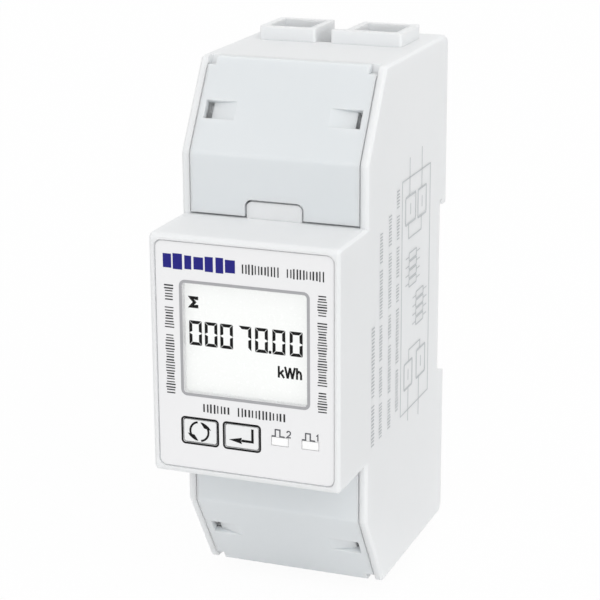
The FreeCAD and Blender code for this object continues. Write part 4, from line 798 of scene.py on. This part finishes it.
@dataclass
class FrontLabel:
    """The printed film: the window's frame, the keys' frames, plain bars for small print, the pulse signs."""

    window: tuple = ((0.0, 3.5), (23.7, 20.6))       # middle and size of the film's cut-out for the window
    frame_line: float = 0.54
    frame_round: float = 0.9
    key_holes: tuple = ((-8.85, -14.0), (-0.7, -14.0))
    key_hole: tuple = (6.7, 4.6)
    key_line: float = 0.35
    key_round: float = 0.6
    pulses: tuple = ((5.03, Sign.TWO, (7.85, 8.8)), (10.8, Sign.ONE, (13.4, 14.2)))
    pulse: tuple = ((0.0, 0.0), (0.72, 0.0), (0.72, 1.25), (1.6, 1.25), (1.6, 0.0), (2.5, 0.0))
    pulse_foot: float = -12.98
    pulse_line: float = 0.24
    number_heights: tuple = (-13.05, -11.65)
    number_line: float = 0.22
    name_field: tuple = ((-15.6, 17.6), (-1.5, 17.6), 2.9, (7,), 0.8)       # what caption asks for
    rows: tuple = (((-0.4, 17.4), (15.2, 17.4), 1.85, (6, 6)), ((-14.4, -7.4), (-14.4, 13.3), 1.8, (11, 4, 3)),
                   ((14.7, -7.6), (14.7, 14.1), 1.8, (4, 12, 4)), ((-8.3, -9.37), (7.8, -9.37), 1.7, (4, 7)))

    def build(self) -> None:
        """Dresses the film and prints it."""
        dress({"front_label": FILM_WHITE})
        size = tuple(side + self.frame_line for side in self.window[1])
        rim = ribbon(FACE, rounded(self.window[0], size, self.frame_round), self.frame_line, True)
        new_piece("window_frame_print", rim, INK_GREY, "case")
        new_piece("key_frames_print", self.key_frames(), INK_BLACK, "case")
        new_piece("pulse_signs_print", self.pulse_signs(), INK_SIGN, "case")
        new_piece("name_field_print", caption(FACE, *self.name_field), INK_NAVY, "case")
        small_print = merged(caption(FACE, *row) for row in self.rows)
        new_piece("small_print_bars", small_print, INK_CAPTION, "case")

    def key_frames(self) -> Patch:
        """A rounded frame round each key's hole."""
        size = tuple(side + self.key_line for side in self.key_hole)
        return merged(ribbon(FACE, rounded(hole, size, self.key_round), self.key_line, True)
                      for hole in self.key_holes)

    def pulse_signs(self) -> Patch:
        """One square pulse and a number over each lamp.

        Returns:
            The signs.
        """
        parts = []
        foot, top = self.number_heights
        for left, number, (low, high) in self.pulses:
            pulse = np.array([left, self.pulse_foot]) + np.array(self.pulse)
            parts.append(ribbon(FACE, pulse, self.pulse_line))
            parts.append(number.drawn(FACE, (low, foot), (high, top), self.number_line))
        return merged(parts)


class Segment(Enum):
    """The segments that the shown figures switch on; the one across the middle stays off."""

    TOP = "top"
    UPPER_LEFT = "upper left"
    UPPER_RIGHT = "upper right"
    LOWER_LEFT = "lower left"
    LOWER_RIGHT = "lower right"
    BOTTOM = "bottom"


ZERO = (Segment.TOP, Segment.UPPER_LEFT, Segment.UPPER_RIGHT, Segment.LOWER_LEFT, Segment.LOWER_RIGHT, Segment.BOTTOM)
SEVEN = (Segment.TOP, Segment.UPPER_RIGHT, Segment.LOWER_RIGHT)


@dataclass
class Display:
    """The window, the glass behind it with its dark segments, and what holds and lights the glass."""

    figures: tuple = ((-10.7, ZERO), (-7.68, ZERO), (-4.68, ZERO), (-1.15, SEVEN), (2.02, ZERO), (5.33, ZERO),
                      (8.6, ZERO))
    width: float = 2.45
    height: float = 4.6
    foot: float = 2.3
    stroke: float = 0.59
    gap: float = 0.06
    sight: tuple = (0.381, 0.325)       # what a mark moves right and up for each millimetre it lies deeper
    point: tuple = ((4.86, 2.58), (0.5, 0.56), 0.1)         # the decimal point's middle, size and corner radius
    total: tuple = ((-10.65, 9.28), (-8.78, 11.45), 0.56)   # the sum sign's corners and stroke
    unit: tuple = ((Sign.KILO, 6.3, 7.7), (Sign.WATT, 7.5, 9.75), (Sign.HOUR, 9.75, 10.95))
    unit_heights: tuple = (-2.15, 0.4)
    unit_stroke: float = 0.39

    def build(self) -> None:
        """Dresses the display and draws what it shows."""
        dress({"display_window": WINDOW, "lcd_glass": DISPLAY_WHITE, "lcd_backlight": LIGHT_GUIDE,
               "lcd_holder": HOLDER, "elastomer_connector": ELASTOMER})
        new_piece("display_marks", self.marks(), SEGMENT_BLACK, "case")

    def glass(self) -> Plane:
        """The glass's front, with its origin where the view shows the label's origin.

        Returns:
            The plane.
        """
        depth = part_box("lcd_glass")[0].y / MM
        behind = depth - FACE_Y
        return Plane((-self.sight[0] * behind, depth, -self.sight[1] * behind), (1, 0, 0), (0, 0, 1), (0, -1, 0))

    def marks(self) -> Patch:
        """The figures, the decimal point, the sum sign and the unit.

        Returns:
            All that the glass shows.
        """
        glass = self.glass()
        parts = [plate(glass, self.segment(part) + np.array([left, self.foot]))
                 for left, shown in self.figures for part in shown]
        parts.append(plate(glass, rounded(*self.point, 3)))
        parts.append(Sign.SUM.drawn(glass, *self.total))
        low, high = self.unit_heights
        parts += [sign.drawn(glass, (left, low), (right, high), self.unit_stroke) for sign, left, right in self.unit]
        return merged(parts)

    def segment(self, part: Segment) -> np.ndarray:
        """One segment's corners, mitred at 45 degrees where it meets the next, with half a gap at each end.

        Args:
            part: Which one.

        Returns:
            Its corners from the figure's lower left corner.
        """
        w, h, s, g = self.width, self.height, self.stroke, self.gap
        level = np.array([(g, 0), (w - g, 0), (w - s - g, s), (s + g, s)])
        upright = np.array([(0, g), (s, s + g), (s, h / 2 - s / 2 - g / 2), (0, h / 2 - g / 2)])
        outline = {Segment.BOTTOM: level, Segment.TOP: (0, h) + level * (1, -1),
                   Segment.LOWER_LEFT: upright, Segment.LOWER_RIGHT: (w, 0) + upright * (-1, 1),
                   Segment.UPPER_LEFT: (0, h) + upright * (1, -1), Segment.UPPER_RIGHT: (w, h) - upright}
        return outline[part]


@dataclass
class Keypad:
    """The two keys, their printed arrows and the switches behind them."""

    cycle: tuple = (-9.0, -14.02)           # middle of the two arrows that chase each other
    radius: float = 1.78
    stroke: float = 0.38
    head: tuple = ((1.3, 91.0), (1.2, 108.0), (1.11, 126.0), (1.07, 145.0), (1.03, 163.0), (0.67, 117.0),
                   (0.97, 100.0))           # shares of the radius and degrees
    starts: tuple = (100.0, 280.0)          # degrees
    sweep: float = 104.0
    bar: tuple = ((1.35, -12.3), (1.35, -14.72), (-0.8, -14.72))
    bar_line: float = 0.46
    bar_head: tuple = ((-3.22, -14.75), (-0.7, -15.34), (-0.9, -14.75), (-0.7, -14.15))

    def build(self) -> None:
        """Dresses the keys and the switches and prints the arrows."""
        dress({"key_scroll": KEY_WHITE, "key_enter": KEY_WHITE})
        for key in ("scroll", "enter"):
            dress({f"switch_body_{key}": BLACK_PLASTIC, f"switch_plunger_{key}": PLUNGER_RED})
        new_piece("scroll_arrows_print", self.cycle_arrows(), INK_BLACK, "key_scroll")
        new_piece("return_arrow_print", self.return_arrow(), INK_BLACK, "key_enter")

    def cycle_arrows(self) -> Patch:
        """Two arcs that chase each other, each with a head.

        A head's corner is cycle + share * radius * (cos, sin) of the arc's start plus the corner's own turn.

        Returns:
            The arrows.
        """
        parts = []
        share, turn = np.array(self.head).T
        for start in self.starts:
            parts.append(ribbon(FACE, arc(self.cycle, self.radius, start, start + self.sweep), self.stroke))
            angle = np.radians(start + turn)
            reach = (self.radius * share)[:, None]
            parts.append(plate(FACE, np.array(self.cycle) + reach * np.stack([np.cos(angle), np.sin(angle)], axis=1)))
        return merged(parts)

    def return_arrow(self) -> Patch:
        """A bar down, a line to the left and a long flat head."""
        return merged([ribbon(FACE, self.bar, self.bar_line), plate(FACE, self.bar_head)])


@dataclass
class Screw:
    """A machine screw along Y, as one surface of revolution with a recess in its head and a thread on its shank."""

    centre: tuple               # x and z
    head: float                 # y of the head's face
    tip: float                  # y of the shank's end
    head_radius: float
    head_height: float
    shank_radius: float
    pitch: float
    thread: float               # depth
    drive: tuple                # half length and half width of the cross, and its depth
    slot: float = 0.0           # half width of a slot right across, 0 for none
    slot_depth: float = 0.75    # as a share of the cross's
    taper: tuple = (0.3, 1.6, 0.3)      # of the cross: how far it runs out, how steeply, and the share left
    flank: float = 0.2          # how wide a recess's wall is
    rim: float = 0.1            # share of the head that is eased at its edge
    eased: float = 0.16         # how far it drops there
    chamfer: float = 0.05       # under the head
    core: float = 0.02          # the smallest ring, as a share of the head and, at the tip, in millimetres
    runout: float = 1.5         # turns in which the thread starts and ends
    steps: int = 6              # rings in a turn of the thread
    around: int = 48            # points in a ring

    def patch(self) -> Patch:
        """Rows of rings from the head's middle to the tip's middle.

        On the head's face a point at (r, a) lies depth * inside(r cos a, r sin a) behind the face, where inside goes
        from 0 to 1 over the flank at the edge of the cross or slot. On the shank the radius is
        shank - thread * |2 frac(y / pitch + a / turn) - 1|, a ridge that climbs one pitch a turn.

        Returns:
            The screw as a closed solid.
        """
        direction = 1.0 if self.tip > self.head else -1.0
        angle = np.linspace(0, TURN, self.around, endpoint=False)
        share = np.concatenate([np.linspace(self.core, 0.94, 22), [0.98, 1.0]])
        face_radius = share * self.head_radius
        dome = self.eased * np.clip((share - 1 + self.rim) / self.rim, 0, 1) ** 2
        face_y = self.head + direction * dome[:, None] + direction * self.recess(
            face_radius[:, None] * np.cos(angle), face_radius[:, None] * np.sin(angle))
        under = self.head + direction * self.head_height
        side_y = np.array([under - direction * self.chamfer, under])
        side_radius = np.array([self.head_radius, self.head_radius - self.chamfer])
        length = abs(self.tip - under)
        turns = np.linspace(0, 1, int(self.steps * length / self.pitch) + 1)
        shank_y = under + direction * length * turns
        climb = shank_y[:, None] / self.pitch + angle[None] / TURN
        ridge = np.abs(2 * (climb - np.floor(climb)) - 1)
        fade = np.clip(np.minimum(turns, 1 - turns) * length / (self.runout * self.pitch), 0, 1)[:, None]
        shank_radius = self.shank_radius - self.thread * (1 - fade * (1 - ridge))
        radius = np.vstack([np.broadcast_to(face_radius[:, None], face_y.shape),
                            np.broadcast_to(side_radius[:, None], (2, self.around)), shank_radius,
                            np.full((1, self.around), self.core)])
        depth = np.vstack([face_y, np.broadcast_to(side_y[:, None], (2, self.around)),
                           np.broadcast_to(shank_y[:, None], shank_radius.shape),
                           np.full((1, self.around), self.tip)])
        points = np.stack([self.centre[0] + radius * np.cos(angle), depth,
                           self.centre[1] + radius * np.sin(angle)], axis=-1)
        rows = len(points)
        ring = np.arange(self.around)
        faces = [lattice(rows, self.around, False, True), np.stack([ring[::-1], ring + (rows - 1) * self.around])]
        return Patch(points.reshape(-1, 3), faces).outward()

    def recess(self, u: np.ndarray, v: np.ndarray) -> np.ndarray:
        """Depth of the drive below the face at (u, v): the deeper of the cross and the slot, with steep flanks.

        Args:
            u: Across, from the middle.
            v: Up, from the middle.

        Returns:
            The depth at each point.
        """
        long, narrow, depth = self.drive
        arms = np.maximum(np.minimum(long - np.abs(u), narrow - np.abs(v)),
                          np.minimum(narrow - np.abs(u), long - np.abs(v)))
        beyond, steep, least = self.taper
        sunk = depth * np.clip(arms / self.flank, 0, 1) * np.clip(
            (long + beyond - np.hypot(u, v)) / long * steep, least, 1)
        if self.slot:
            across = np.clip((self.slot - np.abs(v)) / self.flank, 0, 1)
            sunk = np.maximum(sunk, self.slot_depth * depth * across)
        return sunk


@dataclass
class Terminals:
    """The power terminals' screws and cages, the bars, and the two signal blocks."""

    halves: tuple = ("upper", "lower")
    poles: tuple = ("line", "neutral")
    head_height: float = 3.4
    shank_radius: float = 2.5               # M5
    pitch: float = 0.8
    thread: float = 0.4
    drive: tuple = (2.6, 0.55, 2.0)
    slot: float = 0.6

    def build(self) -> None:
        """Dresses the terminals and gives the power screws their heads and threads."""
        dress({"line_busbar_upper": COPPER, "line_busbar_lower": COPPER, "neutral_busbar": COPPER,
               "current_shunt": MANGANIN, "sense_pins": TINNED})
        for half in self.halves:
            dress({f"signal_terminal_{half}": SIGNAL_PLASTIC, f"signal_screws_{half}": ZINC_STEEL,
                   f"signal_clamps_{half}": BRASS})
            for pole in self.poles:
                dress({f"terminal_cage_{half}_{pole}": ZINC_STEEL, f"terminal_screw_{half}_{pole}": ZINC_STEEL})
                self.power_screw(half, pole)

    def power_screw(self, half: str, pole: str) -> None:
        """Makes one M5 screw, in the place of its plain node.

        Args:
            half: Upper or lower.
            pole: Line or neutral.
        """
        node = f"terminal_screw_{half}_{pole}"
        low, high = (np.array(corner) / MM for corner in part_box(node))
        middle = (low + high) / 2
        screw = Screw((middle[0], middle[2]), low[1], high[1], (high[0] - low[0]) / 2, self.head_height,
                      self.shank_radius, self.pitch, self.thread, self.drive, slot=self.slot)
        piece = new_piece(f"{node}_threaded", screw.patch(), ZINC_STEEL, f"screw_{half}_{pole}")
        shade_by_angle(piece)
        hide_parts(node)


def shade_by_angle(piece: bpy.types.Object, degrees: float = 32.0) -> None:
    """Shades a piece smooth, apart from the edges sharper than an angle.

    Args:
        piece: The object.
        degrees: The angle between two faces from which their edge stays sharp.
    """
    mesh = piece.data
    mesh.polygons.foreach_set("use_smooth", np.ones(len(mesh.polygons), bool))
    mesh.set_sharp_from_angle(angle=math.radians(degrees))


@dataclass
class TerminalCovers:
    """The two covers, which pull off to the front."""

    def build(self) -> None:
        """Dresses both covers."""
        dress({"terminal_cover_upper": COVER, "terminal_cover_lower": COVER})


@dataclass
class PulseLamps:
    """The light pipes in the label and the lamps behind them."""

    def build(self) -> None:
        """Dresses the pipes and the lamps."""
        for lamp in ("active", "reactive"):
            dress({f"light_pipe_{lamp}": LIGHT_PIPE, f"pulse_led_{lamp}": LAMP_RED})


@dataclass
class Electronics:
    """The two boards and what stands on them."""

    finishes: dict = field(default_factory=lambda: {
        "display_board": BOARD, "main_board": BOARD, "stacking_connector": BLACK_PLASTIC,
        "microcontroller": CHIP_EPOXY, "metering_chip": CHIP_EPOXY, "optocoupler_upper": CHIP_EPOXY,
        "optocoupler_lower": CHIP_EPOXY, "crystal": CRYSTAL_CAN, "transformer_core": FERRITE,
        "transformer_bobbin": BLACK_PLASTIC, "transformer_winding": WINDING, "film_capacitor": FILM_BOX,
        "varistor": VARISTOR_COAT, "bulk_capacitor": CAN_SLEEVE, "output_capacitor": CAN_SLEEVE,
        "fuse_resistor": RESISTOR_COAT})

    def build(self) -> None:
        """Dresses the boards and their components."""
        dress(self.finishes)


@dataclass
class RailMounting:
    """The rail clip and the four screws that hold the rear base."""

    places: tuple = ((-12.2, 24.8), (12.2, 24.8), (-12.2, -24.8), (12.2, -24.8))
    head_radius: float = 2.2
    head_height: float = 1.1
    shank_radius: float = 1.05
    pitch: float = 0.9
    thread: float = 0.25
    drive: tuple = (1.3, 0.3, 0.8)

    def build(self) -> None:
        """Dresses the clip and makes the four screws, in the place of their plain node."""
        dress({"rail_clip": CLIP_PLASTIC, "housing_screws": ZINC_STEEL})
        low, high = (np.array(corner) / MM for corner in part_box("housing_screws"))
        screws = [Screw(place, high[1], low[1], self.head_radius, self.head_height, self.shank_radius, self.pitch,
                        self.thread, self.drive).patch() for place in self.places]
        piece = new_piece("housing_screws_threaded", merged(screws), ZINC_STEEL, "case")
        shade_by_angle(piece)
        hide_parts("housing_screws")


@dataclass
class Studio:
    """The pale floor, the plain light and the camera at the photograph's angle."""

    position: tuple = (128.977, -369.027, 113.634)
    right: tuple = (0.9348395, 0.35503573, -0.00497431)
    down: tuple = (0.09864089, -0.27313683, -0.95690451)
    forward: tuple = (-0.34109396, 0.89406146, -0.29036014)
    lens: float = 120.045
    sensor: float = 36.0
    clip: tuple = (0.01, 20.0)              # metres
    sky: float = 0.78                       # strength of its light on the object
    lamp: float = 0.83
    lamp_from: tuple = (0.47, -0.57, 0.6)   # direction in which the lamp stands
    lamp_angle: float = 50.0                # degrees, wide for a soft shadow
    paper: str = "#FAFAFA"
    paper_side: float = 3000.0              # half the sheet's side
    paper_gap: float = 0.05                 # below the object
    paper_white: float = 0.95               # share of white over the paper, where it is looked at

    def build(self) -> None:
        """Makes the floor, the world, the lamp and the camera."""
        self.floor()
        self.world()
        self.light()
        self.camera()
        bpy.context.scene.view_settings.view_transform = "Standard"

    def seen(self, tree: bpy.types.NodeTree) -> Socket:
        """Tells the rays that look at the studio from those that light the object.

        Args:
            tree: The material's or world's node tree.

        Returns:
            1 for rays from the camera, a mirror or clear plastic, else 0.
        """
        path = add(tree, "ShaderNodeLightPath")
        either = add(tree, "ShaderNodeMath", {0: path.outputs["Is Camera Ray"], 1: path.outputs["Is Glossy Ray"]},
                     operation="MAXIMUM")
        return add(tree, "ShaderNodeMath", {0: either.outputs[0], 1: path.outputs["Is Transmission Ray"]},
                   operation="MAXIMUM").outputs[0]

    def floor(self) -> None:
        """A level sheet under the object: white where it is looked at, with a trace of the shadow."""
        level = CAD_BOUNDS[0].z / MM - self.paper_gap
        line = np.linspace(-self.paper_side, self.paper_side, 5)
        u, v = np.meshgrid(line, line, indexing="ij")
        points = np.stack([u, v, np.full_like(u, level)], axis=-1).reshape(-1, 3)
        mesh = bpy.data.meshes.new("studio_floor")
        mesh.from_pydata((points * MM).tolist(), [], lattice(5, 5, False, False).tolist())
        mesh.update()
        sheet = bpy.data.objects.new("studio_floor", mesh)
        bpy.context.scene.collection.objects.link(sheet)
        material = bpy.data.materials.new("studio_paper_white")
        material.use_nodes = True
        tree = material.node_tree
        tree.nodes.clear()
        output = add(tree, "ShaderNodeOutputMaterial")
        paper = add(tree, "ShaderNodeBsdfDiffuse", {"Color": linear(self.paper)})
        white = add(tree, "ShaderNodeEmission", {"Color": linear("#FFFFFF"), "Strength": 1.0})
        share = add(tree, "ShaderNodeMath", {0: self.seen(tree), 1: self.paper_white}, operation="MULTIPLY")
        mixed = add(tree, "ShaderNodeMixShader", {0: share.outputs[0], 1: paper.outputs[0], 2: white.outputs[0]})
        tree.links.new(mixed.outputs[0], output.inputs["Surface"])
        mesh.materials.append(material)

    def world(self) -> None:
        """An even sky, white where it is looked at."""
        world = bpy.data.worlds.new("studio_sky")
        bpy.context.scene.world = world
        world.use_nodes = True
        tree = world.node_tree
        tree.nodes.clear()
        output = add(tree, "ShaderNodeOutputWorld")
        even = add(tree, "ShaderNodeBackground", {"Color": linear("#FFFFFF"), "Strength": self.sky})
        white = add(tree, "ShaderNodeBackground", {"Color": linear("#FFFFFF"), "Strength": 1.0})
        mixed = add(tree, "ShaderNodeMixShader", {0: self.seen(tree), 1: even.outputs[0], 2: white.outputs[0]})
        tree.links.new(mixed.outputs[0], output.inputs["Surface"])

    def light(self) -> None:
        """One wide soft lamp from the upper right."""
        data = bpy.data.lights.new("softbox", "SUN")
        data.energy, data.angle = self.lamp, math.radians(self.lamp_angle)
        lamp = bpy.data.objects.new("softbox", data)
        lamp.rotation_euler = Vector((0, 0, 1)).rotation_difference(Vector(self.lamp_from)).to_euler()
        bpy.context.scene.collection.objects.link(lamp)

    def camera(self) -> None:
        """The camera that was solved on the photograph's corners."""
        data = bpy.data.cameras.new("view")
        data.lens, data.sensor_width = self.lens, self.sensor
        data.clip_start, data.clip_end = self.clip
        camera = bpy.data.objects.new("view", data)
        turn = Matrix.Identity(4)
        for column, axis, sign in ((0, self.right, 1), (1, self.down, -1), (2, self.forward, -1)):
            for row in range(3):
                turn[row][column] = sign * axis[row]
        for row in range(3):
            turn[row][3] = self.position[row] * MM
        camera.matrix_world = turn
        bpy.context.scene.collection.objects.link(camera)
        bpy.context.scene.camera = camera


def main() -> None:
    """Builds the studio and every sub-assembly in order."""
    logging.basicConfig(level=logging.INFO, format="%(name)s: %(message)s")
    for part in (Studio(), Housing(), TerminalCovers(), FrontLabel(), Display(), Keypad(), PulseLamps(), Terminals(),
                 Electronics(), RailMounting()):
        LOG.info("%s", type(part).__name__)
        part.build()


if __name__ == "__main__":
    main()
